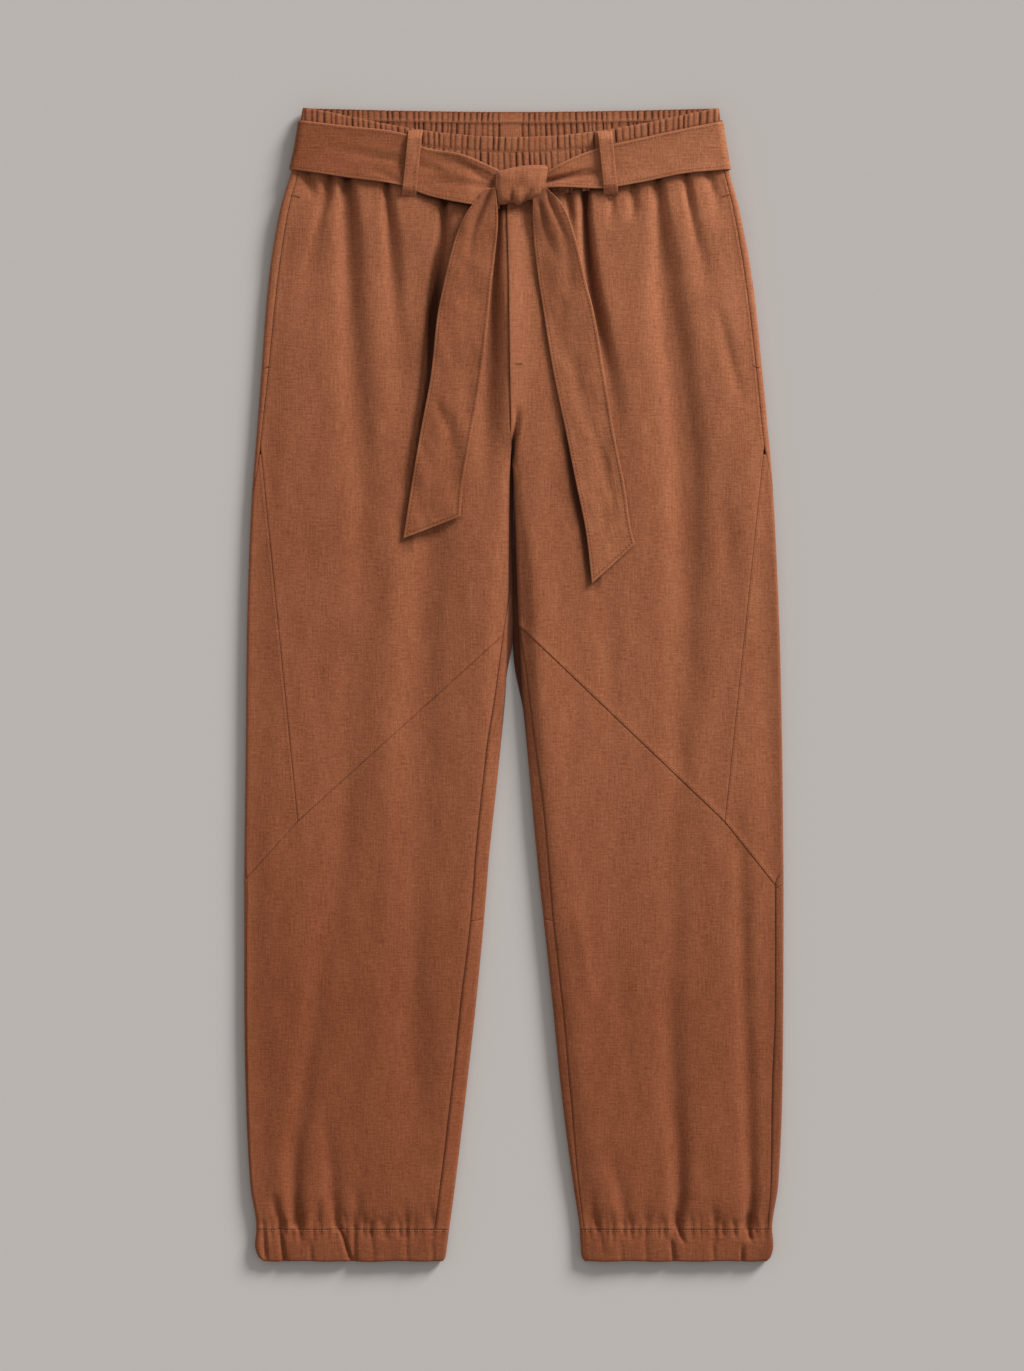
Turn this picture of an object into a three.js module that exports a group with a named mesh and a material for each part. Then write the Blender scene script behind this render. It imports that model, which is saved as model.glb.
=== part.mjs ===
// Harem pants laid flat on a surface, front up: elastic waistband, sash tied at the front, side panels,
// diagonal knee seams and elastic cuffs. Millimetres, +X across, +Y towards the waist, +Z up.
// The origin is the middle of the garment, on the surface that it lies on.
import * as THREE from "three";

// ---- Driving dimensions ----
const wall = 1.5; // cloth of the panels and of the sash
const bandWall = 2; // waistband and cuffs, which hold elastic
const loopWall = 1.2; // belt loops
const seamGap = 0.3; // between pieces that a seam joins
const clearance = 0.3; // between a piece and what lies on it
const edgeRadius = 3.25; // how roundly the cloth turns at a side edge, on its outside
const waistTop = 500; // height of the waistband's top edge at the sides
const bandHeight = 50;
const frontDip = 25.5; // how far the front edge of the waistband sags below the back one
const backDip = 3;
const cuffTop = -472;
const cuffFoot = -500;
const crotch = 208;
const crotchTurn = 12; // below the crotch, how far the inner edges take to turn down
const crotchOpening = 40; // below the crotch, how far the two legs take to round off
const kneeHeight = -118; // where the side panel's front seam ends on the diagonal seam
const sidePanelTop = 200;
const sashLift = 2 * clearance + wall + loopWall; // the waist rests on the sash and its back loop
const liftEnd = 350; // height below which the underside lies on the surface
const liftStart = 415;

const linen = { color: 0xa05f40, roughness: 0.95, metalness: 0 };
const sashLinen = { color: 0xa36345, roughness: 0.95, metalness: 0 };

// ---- Sections, a row for each height from the waist to the hem ----
// outer: side edge, from the centre line. seam: how far the side seam lies inside that edge.
// inner: centre seam above the crotch and inner leg edge below it. inseam: how far it lies from that.
const leftSections = [
  { y: 500, outer: 181.5, seam: 6.0, inner: 5.6, inseam: 0 },
  { y: 450, outer: 192.5, seam: 6.5, inner: 5.6, inseam: 0 },
  { y: 415, outer: 202.0, seam: 7.5, inner: 5.6, inseam: 0 },
  { y: 350, outer: 212.8, seam: 8.1, inner: 4.1, inseam: 0 },
  { y: 268, outer: 219.2, seam: 6.1, inner: 3.0, inseam: 0 },
  { y: 208, outer: 223.8, seam: 4.0, inner: 1.7, inseam: 0 },
  { y: 196, outer: 224.8, seam: 3.9, inner: 2.3, inseam: 0 },
  { y: 150, outer: 228.0, seam: 0.0, inner: 3.9, inseam: 0 },
  { y: 80, outer: 230.7, seam: 0.0, inner: 4.2, inseam: 0 },
  { y: 42, outer: 231.6, seam: 0.0, inner: 5.0, inseam: 4.5 },
  { y: 0, outer: 232.1, seam: 0.0, inner: 6.4, inseam: 8.6 },
  { y: -60, outer: 232.6, seam: 0.0, inner: 11.8, inseam: 12.4 },
  { y: -118, outer: 233.3, seam: 0.0, inner: 17.9, inseam: 12.6 },
  { y: -150, outer: 233.7, seam: 0.0, inner: 21.3, inseam: 12.2 },
  { y: -158, outer: 233.7, seam: 0.9, inner: 21.9, inseam: 12.1 },
  { y: -167, outer: 233.8, seam: 2.5, inner: 22.6, inseam: 12.0 },
  { y: -203, outer: 233.8, seam: 2.2, inner: 25.5, inseam: 12.0 },
  { y: -280, outer: 233.8, seam: 1.9, inner: 32.9, inseam: 13.8 },
  { y: -350, outer: 232.6, seam: 1.5, inner: 40.7, inseam: 13.3 },
  { y: -434, outer: 228.5, seam: 0.5, inner: 50.6, inseam: 13.3 },
  { y: -472, outer: 223.9, seam: 0.0, inner: 55.7, inseam: 13.2 },
  { y: -500, outer: 219.0, seam: 0.0, inner: 59.4, inseam: 10.0 },
];
const rightSections = [
  { y: 500, outer: 178.0, seam: 4.0, inner: -5.6, inseam: 0 },
  { y: 450, outer: 186.0, seam: 4.6, inner: -5.6, inseam: 0 },
  { y: 415, outer: 195.3, seam: 5.6, inner: -5.6, inseam: 0 },
  { y: 350, outer: 207.6, seam: 6.4, inner: -4.1, inseam: 0 },
  { y: 268, outer: 216.4, seam: 5.4, inner: -3.0, inseam: 0 },
  { y: 208, outer: 222.2, seam: 4.9, inner: -1.7, inseam: 0 },
  { y: 196, outer: 223.3, seam: 3.4, inner: -0.7, inseam: 0 },
  { y: 150, outer: 226.4, seam: 0.0, inner: 3.4, inseam: 0 },
  { y: 80, outer: 229.8, seam: 0.0, inner: 6.1, inseam: 0 },
  { y: 49, outer: 231.0, seam: 0.0, inner: 6.8, inseam: 0.9 },
  { y: 0, outer: 232.3, seam: 0.0, inner: 8.3, inseam: 5.8 },
  { y: -60, outer: 233.4, seam: 0.0, inner: 12.8, inseam: 7.9 },
  { y: -118, outer: 234.1, seam: 0.0, inner: 17.4, inseam: 9.9 },
  { y: -150, outer: 234.4, seam: 0.0, inner: 20.5, inseam: 9.6 },
  { y: -160, outer: 234.5, seam: 1.3, inner: 21.4, inseam: 9.5 },
  { y: -173, outer: 234.5, seam: 7.8, inner: 22.7, inseam: 9.4 },
  { y: -203, outer: 234.5, seam: 7.8, inner: 26.0, inseam: 8.4 },
  { y: -280, outer: 234.3, seam: 7.7, inner: 34.2, inseam: 8.7 },
  { y: -350, outer: 233.5, seam: 9.5, inner: 41.1, inseam: 8.1 },
  { y: -434, outer: 229.9, seam: 7.0, inner: 51.9, inseam: 4.4 },
  { y: -472, outer: 225.0, seam: 4.0, inner: 57.4, inseam: 3.4 },
  { y: -500, outer: 222.0, seam: 4.0, inner: 59.7, inseam: 3.3 },
];

// The diagonal seam bends at kneeAcross from the centre line, drops by innerDrop for each millimetre
// across on the way there, and ends at height kneeEnd on the side seam.
const knees = {
  left: { kneeAcross: 187.2, innerDrop: 0.906, kneeEnd: -167 },
  right: { kneeAcross: 183, innerDrop: 0.953, kneeEnd: -173 },
};
const legs = {
  left: { name: "left", sign: -1, sections: leftSections, ...knees.left },
  right: { name: "right", sign: 1, sections: rightSections, ...knees.right },
};

// The seam across the back of the knee, by its distance from the centre line.
const backKnee = { middleAcross: 130, middle: -222, inner: -203 };

// Soft folds of the front, from their upper end down to their foot. rise is above the flat cloth.
const folds = [
  { x: -168, foot: -174, from: 434, to: 320, width: 11, rise: 2.5 },
  { x: -126, foot: -128, from: 424, to: 240, width: 13, rise: 5.0 },
  { x: -92, foot: -100, from: 412, to: 300, width: 12, rise: 4.0 },
  { x: 94, foot: 102, from: 412, to: 320, width: 12, rise: 3.5 },
  { x: 138, foot: 160, from: 431, to: 240, width: 14, rise: 4.5 },
  { x: -150, foot: -150, from: 210, to: -400, width: 34, rise: 1.4 },
  { x: 140, foot: 150, from: 210, to: -400, width: 34, rise: 1.4 },
  { x: -195, foot: -190, from: -390, to: -471, width: 11, rise: 1.6 },
  { x: -110, foot: -112, from: -400, to: -471, width: 12, rise: 1.2 },
  { x: 140, foot: 144, from: -370, to: -471, width: 12, rise: 1.6 },
  { x: 206, foot: 205, from: -370, to: -471, width: 10, rise: 1.4 },
];

// Edges of the sash where it lies over the front, by distance from the centre line.
const sashFront = {
  left: [
    { across: 12, top: 446, bottom: 412 },
    { across: 46, top: 460, bottom: 417.5 },
    { across: 79, top: 466.5, bottom: 425.5 },
    { across: 92, top: 477, bottom: 431.5 },
    { across: 150, top: 485, bottom: 440.5 },
    { across: 188, top: 490, bottom: 447 },
  ],
  right: [
    { across: 20, top: 439, bottom: 430 },
    { across: 42, top: 452, bottom: 431 },
    { across: 73, top: 465, bottom: 430 },
    { across: 109, top: 473.5, bottom: 435 },
    { across: 148, top: 482, bottom: 443 },
    { across: 184, top: 490, bottom: 447 },
  ],
};

// Side edges of the two hanging ends of the sash. They are cut off on a slant from foot to heel.
const tails = {
  left: {
    foot: 127,
    heel: 146,
    edges: [
      { y: 425, start: -27, end: -15 },
      { y: 396, start: -46.5, end: -13.5 },
      { y: 350, start: -59.5, end: -18.5 },
      { y: 271, start: -71, end: -27 },
      { y: 172, start: -88.5, end: -44 },
      { y: 127, start: -95.5, end: -48 },
    ],
  },
  right: {
    foot: 88,
    heel: 122,
    edges: [
      { y: 425, start: 16.5, end: 33 },
      { y: 390, start: 17.5, end: 52.5 },
      { y: 350, start: 21.5, end: 62.5 },
      { y: 272, start: 34.5, end: 78.5 },
      { y: 173, start: 54.5, end: 96 },
      { y: 122, start: 63.5, end: 105.5 },
      { y: 88, start: 68, end: 109 },
    ],
  },
};
const tailsRaised = [404, 395, 386]; // heights over which they come down from the sash onto the front

const knot = { x: 7, y: 433, halfWidth: 22, halfHeight: 17.5, thickness: 11, fullness: 0.6 };
const knotRings = 5;
const knotSides = 20;

// Belt loops: the middle of each strip at its two ends.
const loopWidth = 12;
const loopStep = 1.4; // length over which a loop rises from the waistband onto the sash
const loopFoot = 2.5; // length of each sewn end
const loops = [
  { name: "belt_loop_left", top: [-84.7, 481], bottom: [-90.6, 423] },
  { name: "belt_loop_right", top: [79, 480], bottom: [85, 423] },
];
const backLoop = { top: 496, bottom: 441 };

// ---- The garment's skin ----
const half = seamGap / 2;
const mix = THREE.MathUtils.lerp;
const smooth = THREE.MathUtils.smoothstep;
const quarterTurn = (Math.PI / 2) * edgeRadius;
const halfTurn = Math.PI * edgeRadius;

// Reads a column of a table at a given place along another, in straight lines between the rows.
function read(rows, key, place, column) {
  const rising = rows.at(-1)[key] > rows[0][key] ? rows : [...rows].reverse();
  let i = 0;
  while (i < rising.length - 2 && place > rising[i + 1][key]) i += 1;
  const [low, high] = [rising[i], rising[i + 1]];
  const share = THREE.MathUtils.clamp((place - low[key]) / (high[key] - low[key]), 0, 1);
  return mix(low[column], high[column], share);
}

// Height of the underside: the waist is lifted by the sash that runs under it.
function underside(y) {
  return sashLift * THREE.MathUtils.clamp((y - liftEnd) / (liftStart - liftEnd), 0, 1);
}

// How far the folds raise the front at a point.
function foldRise(x, y) {
  let total = 0;
  for (const fold of folds) {
    const middle = mix(fold.x, fold.foot, (fold.from - y) / (fold.from - fold.to));
    const ends = smooth(fold.from - y, 0, 20) * smooth(y, fold.to, mix(fold.to, fold.from, 0.5));
    total += fold.rise * ends * Math.exp(-(((x - middle) / fold.width) ** 2));
  }
  return total;
}

// Where one leg's section turns at its two edges, and how round the inner edge is there.
function section(leg, y) {
  const outer = read(leg.sections, "y", y, "outer");
  const inner = read(leg.sections, "y", y, "inner");
  const innerRadius = edgeRadius * smooth(crotch - y, 0, crotchOpening);
  return { outer, inner, innerRadius, outerTurn: outer - edgeRadius, innerTurn: inner + innerRadius };
}

// Distance round the section to the centre of the back, where the inner edge starts to turn.
function backTurn(leg, y) {
  const { outerTurn, innerTurn } = section(leg, y);
  return 2 * outerTurn - innerTurn + halfTurn;
}

// A point of the skin. `around` is measured on the cloth from the centre line out along the front,
// round the side edge and back along the underside. `out` moves the point off the skin.
function skin(leg, y, around, out) {
  const { outerTurn, innerTurn, innerRadius } = section(leg, y);
  const under = underside(y);
  const middle = under + edgeRadius;
  const place = (across, z) => new THREE.Vector3(leg.sign * across, y, z);
  const innerEdge = (angle) =>
    place(innerTurn - (innerRadius + out) * Math.sin(angle), middle + (edgeRadius + out) * Math.cos(angle));
  const front = (across) => {
    const fade = smooth(outerTurn - across, 0, 15) * (y < crotch ? smooth(across - innerTurn, 0, 15) : 1);
    return place(across, under + 2 * edgeRadius + fade * foldRise(leg.sign * across, y) + out);
  };
  const isLeg = y < crotch;
  if (around <= outerTurn) {
    if (isLeg && around < innerTurn) return innerEdge((innerTurn - around) / edgeRadius);
    return front(around);
  }
  const turned = (around - outerTurn) / edgeRadius;
  if (turned < Math.PI) {
    const reach = edgeRadius + out;
    return place(outerTurn + reach * Math.sin(turned), middle + reach * Math.cos(turned));
  }
  const across = outerTurn - (around - outerTurn - halfTurn);
  if (!isLeg || across > innerTurn) return place(across, under - out);
  const back = (innerTurn - across) / edgeRadius;
  return back < Math.PI ? innerEdge(Math.PI - back) : front(innerTurn + (back - Math.PI) * edgeRadius);
}

// ---- Seams, as distances round the section ----
// How far round an edge, past the flat front, a point lies that is `inset` inside it.
const edgeTurn = (inset) => edgeRadius * Math.asin(Math.max(0, 1 - inset / edgeRadius));

// The side seam, worked out at the rows of the table and straight between them.
function sideSeam(leg, y) {
  const rows = leg.sections.map((row) => {
    const onFront = row.seam >= edgeRadius;
    return { y: row.y, around: onFront ? row.outer - row.seam : row.outer - edgeRadius + edgeTurn(row.seam) };
  });
  return read(rows, "y", y, "around");
}

// The front seam of the side panel runs straight from the side seam to the bend of the diagonal seam.
function panelSeam(leg, y) {
  return mix(sideSeam(leg, crotch), leg.kneeAcross, (crotch - y) / (crotch - kneeHeight));
}

// The outer boundary of the upper front.
const frontOuter = (leg, y) => (y >= crotch ? sideSeam(leg, y) : panelSeam(leg, y));

// The inner boundary of the front: centre seam, then round the crotch to the inseam.
function frontInner(leg, y) {
  const { inner, innerTurn } = section(leg, y);
  const inset = read(leg.sections, "y", y, "inseam");
  const turn = THREE.MathUtils.clamp((crotch - y) / crotchTurn, 0, 1);
  return inset >= edgeRadius ? inner + inset : innerTurn - edgeTurn(inset) * turn;
}

// The same line reached from the back.
function backInner(leg, y) {
  const { innerTurn } = section(leg, y);
  if (y > crotch - crotchTurn) return backTurn(leg, y) + quarterTurn * Math.max(0, (crotch - y) / crotchTurn);
  return backTurn(leg, y) + halfTurn - innerTurn + frontInner(leg, y);
}

// Height of the diagonal knee seam at a distance from the centre line.
function diagonal(leg, across) {
  if (across < leg.kneeAcross) return kneeHeight + leg.innerDrop * (leg.kneeAcross - across);
  const outerEnd = Math.min(sideSeam(leg, leg.kneeEnd), section(leg, leg.kneeEnd).outer);
  return mix(kneeHeight, leg.kneeEnd, (across - leg.kneeAcross) / (outerEnd - leg.kneeAcross));
}

// Height of the seam across the back of the knee.
function backKneeSeam(leg, across) {
  const { outer, inner } = section(leg, leg.kneeEnd);
  const past = across > backKnee.middleAcross;
  const end = past ? outer : inner + edgeRadius;
  const share = THREE.MathUtils.clamp((across - backKnee.middleAcross) / (end - backKnee.middleAcross), 0, 1);
  return mix(backKnee.middle, past ? leg.kneeEnd : backKnee.inner, share);
}

// Sag of a waistband edge, deepest at the centre.
const sag = (depth, x) => depth * Math.max(0, 1 - (x / 182) ** 2) ** 1.3;
const frontWaist = (x) => waistTop - bandHeight - sag(frontDip, x);
const backWaist = (x) => waistTop - bandHeight - sag(backDip, x);

// ---- Making solids ----
// Joins an outer and an inner grid of points into one closed wall. grid(i, j, out) gives its points.
function wallGeometry(rows, columns, grid, outer, inner, closed = false) {
  const positions = [];
  const triangles = [];
  for (const out of [outer, inner]) {
    for (let i = 0; i < rows; i += 1) {
      for (let j = 0; j < columns; j += 1) positions.push(...grid(i, j, out).toArray());
    }
  }
  const sheet = rows * columns;
  const at = (layer, i, j) => layer * sheet + i * columns + (j % columns);
  const quad = (a, b, c, d) => triangles.push(a, b, c, a, c, d);
  const steps = closed ? columns : columns - 1;
  for (let i = 0; i < rows - 1; i += 1) {
    for (let j = 0; j < steps; j += 1) {
      quad(at(0, i, j), at(0, i + 1, j), at(0, i + 1, j + 1), at(0, i, j + 1));
      quad(at(1, i, j), at(1, i, j + 1), at(1, i + 1, j + 1), at(1, i + 1, j));
    }
  }
  for (let j = 0; j < steps; j += 1) {
    quad(at(0, 0, j), at(0, 0, j + 1), at(1, 0, j + 1), at(1, 0, j));
    quad(at(0, rows - 1, j), at(1, rows - 1, j), at(1, rows - 1, j + 1), at(0, rows - 1, j + 1));
  }
  for (let i = 0; i < rows - 1 && !closed; i += 1) {
    quad(at(0, i, 0), at(1, i, 0), at(1, i + 1, 0), at(0, i + 1, 0));
    quad(at(0, i, columns - 1), at(0, i + 1, columns - 1), at(1, i + 1, columns - 1), at(1, i, columns - 1));
  }
  return facingOut(positions, triangles);
}

// Turns the triangles round where they enclose a negative volume.
function facingOut(positions, triangles) {
  const [a, b, c] = [new THREE.Vector3(), new THREE.Vector3(), new THREE.Vector3()];
  let volume = 0;
  for (let i = 0; i < triangles.length; i += 3) {
    a.fromArray(positions, 3 * triangles[i]);
    b.fromArray(positions, 3 * triangles[i + 1]);
    c.fromArray(positions, 3 * triangles[i + 2]);
    volume += a.dot(b.cross(c)) / 6;
  }
  const geometry = new THREE.BufferGeometry();
  geometry.setAttribute("position", new THREE.Float32BufferAttribute(positions, 3));
  geometry.setIndex(volume < 0 ? triangles.reverse() : triangles);
  geometry.computeVertexNormals();
  return geometry;
}

function mesh(name, geometry, finish = linen) {
  const piece = new THREE.Mesh(geometry, new THREE.MeshStandardMaterial(finish));
  piece.name = name;
  return piece;
}

// Columns of a panel: `breaks` are where its surface starts or stops turning, `counts` the columns
// between them. Breaks that fall together are moved apart by a narrow column each.
function spread(breaks, counts) {
  const total = counts.reduce((sum, count) => sum + count, 0);
  const narrow = Math.min(1, (breaks.at(-1) - breaks[0]) / (2 * total));
  const placed = [...breaks];
  for (let i = 1; i < placed.length - 1; i += 1) {
    placed[i] = Math.max(placed[i], placed[i - 1] + narrow * counts[i - 1]);
  }
  for (let i = placed.length - 2; i > 0; i -= 1) {
    placed[i] = Math.min(placed[i], placed[i + 1] - narrow * counts[i]);
  }
  const columns = [placed[0]];
  counts.forEach((count, i) => {
    for (let k = 1; k <= count; k += 1) columns.push(mix(placed[i], placed[i + 1], k / count));
  });
  return columns;
}

// Heights of a boundary's rows: its two ends and the table's rows between them. Up to `count` rows,
// the rest go evenly into the interval that starts at row `padAt`, which is counted from either end.
function levels(leg, top, bottom, count, padAt) {
  const found = leg.sections.map((row) => row.y).filter((y) => y < top - 1 && y > bottom + 1);
  const rows = [top, ...found, bottom];
  const missing = count - rows.length;
  const start = padAt < 0 ? rows.length + padAt : padAt;
  const added = Array.from({ length: Math.max(0, missing) }, (_, i) => (i + 1) / (missing + 1));
  rows.splice(start + 1, 0, ...added.map((share) => mix(rows[start], rows[start + 1], share)));
  return rows;
}

// The height at which a boundary line meets an edge that is given by distance from the centre line.
function meet(leg, boundary, edge, guess) {
  let y = guess;
  for (let turn = 0; turn < 12; turn += 1) y = edge(Math.abs(skin(leg, y, boundary(leg, y), 0).x));
  return y;
}

// A panel between two boundary lines and two edges. columns(y) gives its places round the section.
function panel(leg, { first, last, top, bottom, columns, guess, padAt }) {
  const upper = (across) => top(across) - half;
  const lower = (across) => bottom(across) + half;
  const corners = [first, last].map((boundary) => [
    meet(leg, boundary, upper, guess[0]),
    meet(leg, boundary, lower, guess[1]),
  ]);
  const counts = corners.map(([high, low]) => levels(leg, high, low, 0, padAt).length);
  const sides = corners.map(([high, low]) => levels(leg, high, low, Math.max(...counts), padAt));
  const rows = sides[0].length;
  const width = columns(guess[0]).length;
  const grid = (i, j, out) => {
    const down = i / (rows - 1);
    let y = mix(sides[0][i], sides[1][i], 0.5);
    let around = 0;
    for (let turn = 0; turn < 12; turn += 1) {
      const places = columns(y);
      const share = (places[j] - places[0]) / (places.at(-1) - places[0]);
      around = places[j];
      const across = Math.abs(skin(leg, y, around, 0).x);
      const highest = upper(across) - mix(corners[0][0], corners[1][0], share);
      const lowest = lower(across) - mix(corners[0][1], corners[1][1], share);
      const ends = share > 0 && share < 1 ? highest * (1 - down) ** 2 + lowest * down ** 2 : 0;
      y = mix(sides[0][i], sides[1][i], share) + ends;
    }
    return skin(leg, y, around, out);
  };
  return wallGeometry(rows, width, grid, 0, -wall);
}

// ---- Pieces of one leg ----
function frontUpper(leg) {
  const first = (_, y) => frontInner(leg, y) + half;
  const last = (_, y) => frontOuter(leg, y) - half;
  const columns = (y) => spread([first(leg, y), section(leg, y).innerTurn, last(leg, y)], [3, 13]);
  const bottom = (across) => diagonal(leg, Math.min(across, leg.kneeAcross));
  return panel(leg, { first, last, top: frontWaist, bottom, columns, guess: [430, -40], padAt: -3 });
}

function sidePanel(leg) {
  const first = (_, y) => panelSeam(leg, y) + half;
  const last = (_, y) => sideSeam(leg, y) - half;
  const columns = (y) => spread([first(leg, y), section(leg, y).outerTurn, last(leg, y)], [2, 2]);
  const bottom = (across) => diagonal(leg, Math.max(across, leg.kneeAcross));
  const guess = [sidePanelTop, -140];
  return panel(leg, { first, last, top: () => sidePanelTop, bottom, columns, guess, padAt: -2 });
}

function frontLower(leg) {
  const first = (_, y) => frontInner(leg, y) + half;
  const last = (_, y) => sideSeam(leg, y) - half;
  const columns = (y) => {
    const { innerTurn, outerTurn } = section(leg, y);
    return spread([first(leg, y), innerTurn, leg.kneeAcross, outerTurn, last(leg, y)], [1, 8, 3, 2]);
  };
  const top = (across) => diagonal(leg, across);
  return panel(leg, { first, last, top, bottom: () => cuffTop, columns, guess: [-60, cuffTop], padAt: 0 });
}

// The two back panels start on the front, at the side seam, and go round both edges.
function backColumns(leg, first, last) {
  return (y) => {
    const { outerTurn } = section(leg, y);
    const turned = outerTurn + halfTurn;
    const middle = turned + outerTurn - backKnee.middleAcross;
    const back = backTurn(leg, y);
    const breaks = [first(leg, y), outerTurn, turned, middle, back, back + halfTurn, last(leg, y)];
    return spread(breaks, [1, 4, 3, 4, 4, 1]);
  };
}

function backUpper(leg) {
  const first = (_, y) => sideSeam(leg, y) + half;
  const last = (_, y) => backInner(leg, y) - half;
  const columns = backColumns(leg, first, last);
  const bottom = (across) => backKneeSeam(leg, across);
  return panel(leg, { first, last, top: backWaist, bottom, columns, guess: [445, -190], padAt: -3 });
}

function backLower(leg) {
  const first = (_, y) => sideSeam(leg, y) + half;
  const last = (_, y) => backInner(leg, y) - half;
  const columns = backColumns(leg, first, last);
  const top = (across) => backKneeSeam(leg, across);
  return panel(leg, { first, last, top, bottom: () => cuffTop, columns, guess: [-190, cuffTop], padAt: 0 });
}

function cuff(leg) {
  const rows = [cuffTop - half, mix(cuffTop, cuffFoot, 0.5), cuffFoot];
  const columns = (y) => {
    const { innerTurn, outerTurn } = section(leg, y);
    const back = backTurn(leg, y);
    return spread([innerTurn, outerTurn, outerTurn + halfTurn, back, back + halfTurn], [7, 4, 7, 4]);
  };
  const width = columns(cuffTop).length - 1;
  const grid = (i, j, out) => skin(leg, rows[i], columns(rows[i])[j], out);
  return wallGeometry(rows.length, width, grid, 0, -bandWall, true);
}

// ---- Pieces that cross the centre ----
// Places along a band from the left side edge to the right one, as [leg, distance round its section].
function acrossFront(y, counts) {
  const fromCentre = (leg) => {
    const { outerTurn } = section(leg, y);
    return spread([0, outerTurn, outerTurn + quarterTurn - half], counts).map((around) => [leg, around]);
  };
  return [...fromCentre(legs.left).slice(1).reverse(), ...fromCentre(legs.right)];
}

// The same along the back.
function acrossBack(y, counts) {
  const toCentre = (leg) => {
    const { outerTurn } = section(leg, y);
    const turned = outerTurn + halfTurn;
    const places = spread([outerTurn + quarterTurn + half, turned, turned + outerTurn], counts);
    return places.map((around) => [leg, around]);
  };
  return [...toCentre(legs.left), ...toCentre(legs.right).slice(0, -1).reverse()];
}

// A band whose top and bottom edges are given by distance from the centre.
function band(places, top, bottom, outer, inner, rows = 3) {
  const width = places(top(0)).length;
  const grid = (i, j, out) => {
    let y = top(0);
    let point;
    for (let turn = 0; turn < 8; turn += 1) {
      const [leg, around] = places(y)[j];
      point = skin(leg, y, around, out);
      y = mix(top(point.x), bottom(point.x), i / (rows - 1));
    }
    return point;
  };
  return wallGeometry(rows, width, grid, outer, inner);
}

function waistbandFront() {
  const bottom = (x) => frontWaist(x) + half;
  return band((y) => acrossFront(y, [11, 3]), (x) => bottom(x) + bandHeight - half, bottom, 0, -bandWall);
}

function waistbandBack() {
  const bottom = (x) => backWaist(x) + half;
  return band((y) => acrossBack(y, [3, 9]), (x) => bottom(x) + bandHeight - half, bottom, 0, -bandWall);
}

// ---- Sash, knot and loops ----
const onSkin = clearance;
const onSash = onSkin + wall + clearance;
const onTails = onSash + wall + clearance;

function sashFrontStretch(leg) {
  const rows = sashFront[leg.name];
  const crossRows = 4;
  const columns = (y) => {
    const { outerTurn } = section(leg, y);
    return spread([rows[0].across, outerTurn, outerTurn + quarterTurn - half], [11, 3]);
  };
  const grid = (i, j, out) => {
    let y = waistTop - bandHeight;
    let around = 0;
    for (let turn = 0; turn < 8; turn += 1) {
      around = columns(y)[j];
      const top = read(rows, "across", around, "top");
      y = mix(top, read(rows, "across", around, "bottom"), i / (crossRows - 1));
    }
    return skin(leg, y, around, out);
  };
  return wallGeometry(crossRows, columns(waistTop).length, grid, onSkin + wall, onSkin);
}

function sashBackStretch() {
  const ends = sashFront.left.at(-1);
  return band((y) => acrossBack(y, [3, 9]), () => ends.top, () => ends.bottom, onSkin + wall, onSkin);
}

function tail({ foot, heel, edges }) {
  const straight = [edges[0].y, liftStart, ...tailsRaised, liftEnd];
  const lowerRows = 7;
  const columns = 5;
  const grid = (i, j, out) => {
    const share = j / (columns - 1);
    const slantedFoot = mix(foot, heel, share);
    const y = straight[i] ?? mix(liftEnd, slantedFoot, (i - straight.length + 1) / lowerRows);
    const x = mix(read(edges, "y", y, "start"), read(edges, "y", y, "end"), share);
    const raised = (onSash - onSkin) * smooth(y, tailsRaised.at(-1), tailsRaised[0]);
    return skin(x < 0 ? legs.left : legs.right, y, Math.abs(x), out + raised);
  };
  return wallGeometry(straight.length + lowerRows, columns, grid, onSkin + wall, onSkin);
}

// The knot is a flattened dome over the ends of the sash.
function sashKnot() {
  const { halfWidth, halfHeight, thickness, fullness } = knot;
  const profile = [new THREE.Vector2(0, 0)];
  for (let step = 0; step < knotRings; step += 1) {
    const angle = (step / knotRings) * (Math.PI / 2);
    profile.push(new THREE.Vector2(halfWidth * Math.cos(angle) ** fullness, thickness * Math.sin(angle)));
  }
  profile.push(new THREE.Vector2(0, thickness));
  const dome = new THREE.LatheGeometry(profile, knotSides);
  dome.rotateX(Math.PI / 2);
  dome.scale(1, halfHeight / halfWidth, 1);
  const base = skin(legs.left, knot.y, 0, onTails).z;
  dome.translate(knot.x, knot.y, base);
  return dome;
}

// A belt loop: a strip sewn down at both ends, raised over the sash between them.
function loopStrip(place, top, bottom) {
  const stops = [0, loopFoot, loopFoot + loopStep];
  const length = top - bottom;
  const heights = [...stops.map((stop) => top - stop), ...stops.reverse().map((stop) => top - length + stop)];
  const columns = [-loopWidth / 2, 0, loopWidth / 2];
  const grid = (i, j, out) => {
    const raised = i > 1 && i < heights.length - 2 ? onSash : onSkin;
    return place(heights[i], columns[j], raised + out);
  };
  return wallGeometry(heights.length, columns.length, grid, loopWall, 0);
}

function frontLoop({ top, bottom }) {
  const place = (y, offset, out) => {
    const x = mix(bottom[0], top[0], (y - bottom[1]) / (top[1] - bottom[1])) + offset;
    return skin(x < 0 ? legs.left : legs.right, y, Math.abs(x), out);
  };
  return loopStrip(place, top[1], bottom[1]);
}

function rearLoop() {
  const place = (y, offset, out) => {
    const leg = offset < 0 ? legs.left : legs.right;
    const turned = section(leg, y).outerTurn;
    return skin(leg, y, 2 * turned + halfTurn - Math.abs(offset), out);
  };
  return loopStrip(place, backLoop.top, backLoop.bottom);
}

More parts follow.
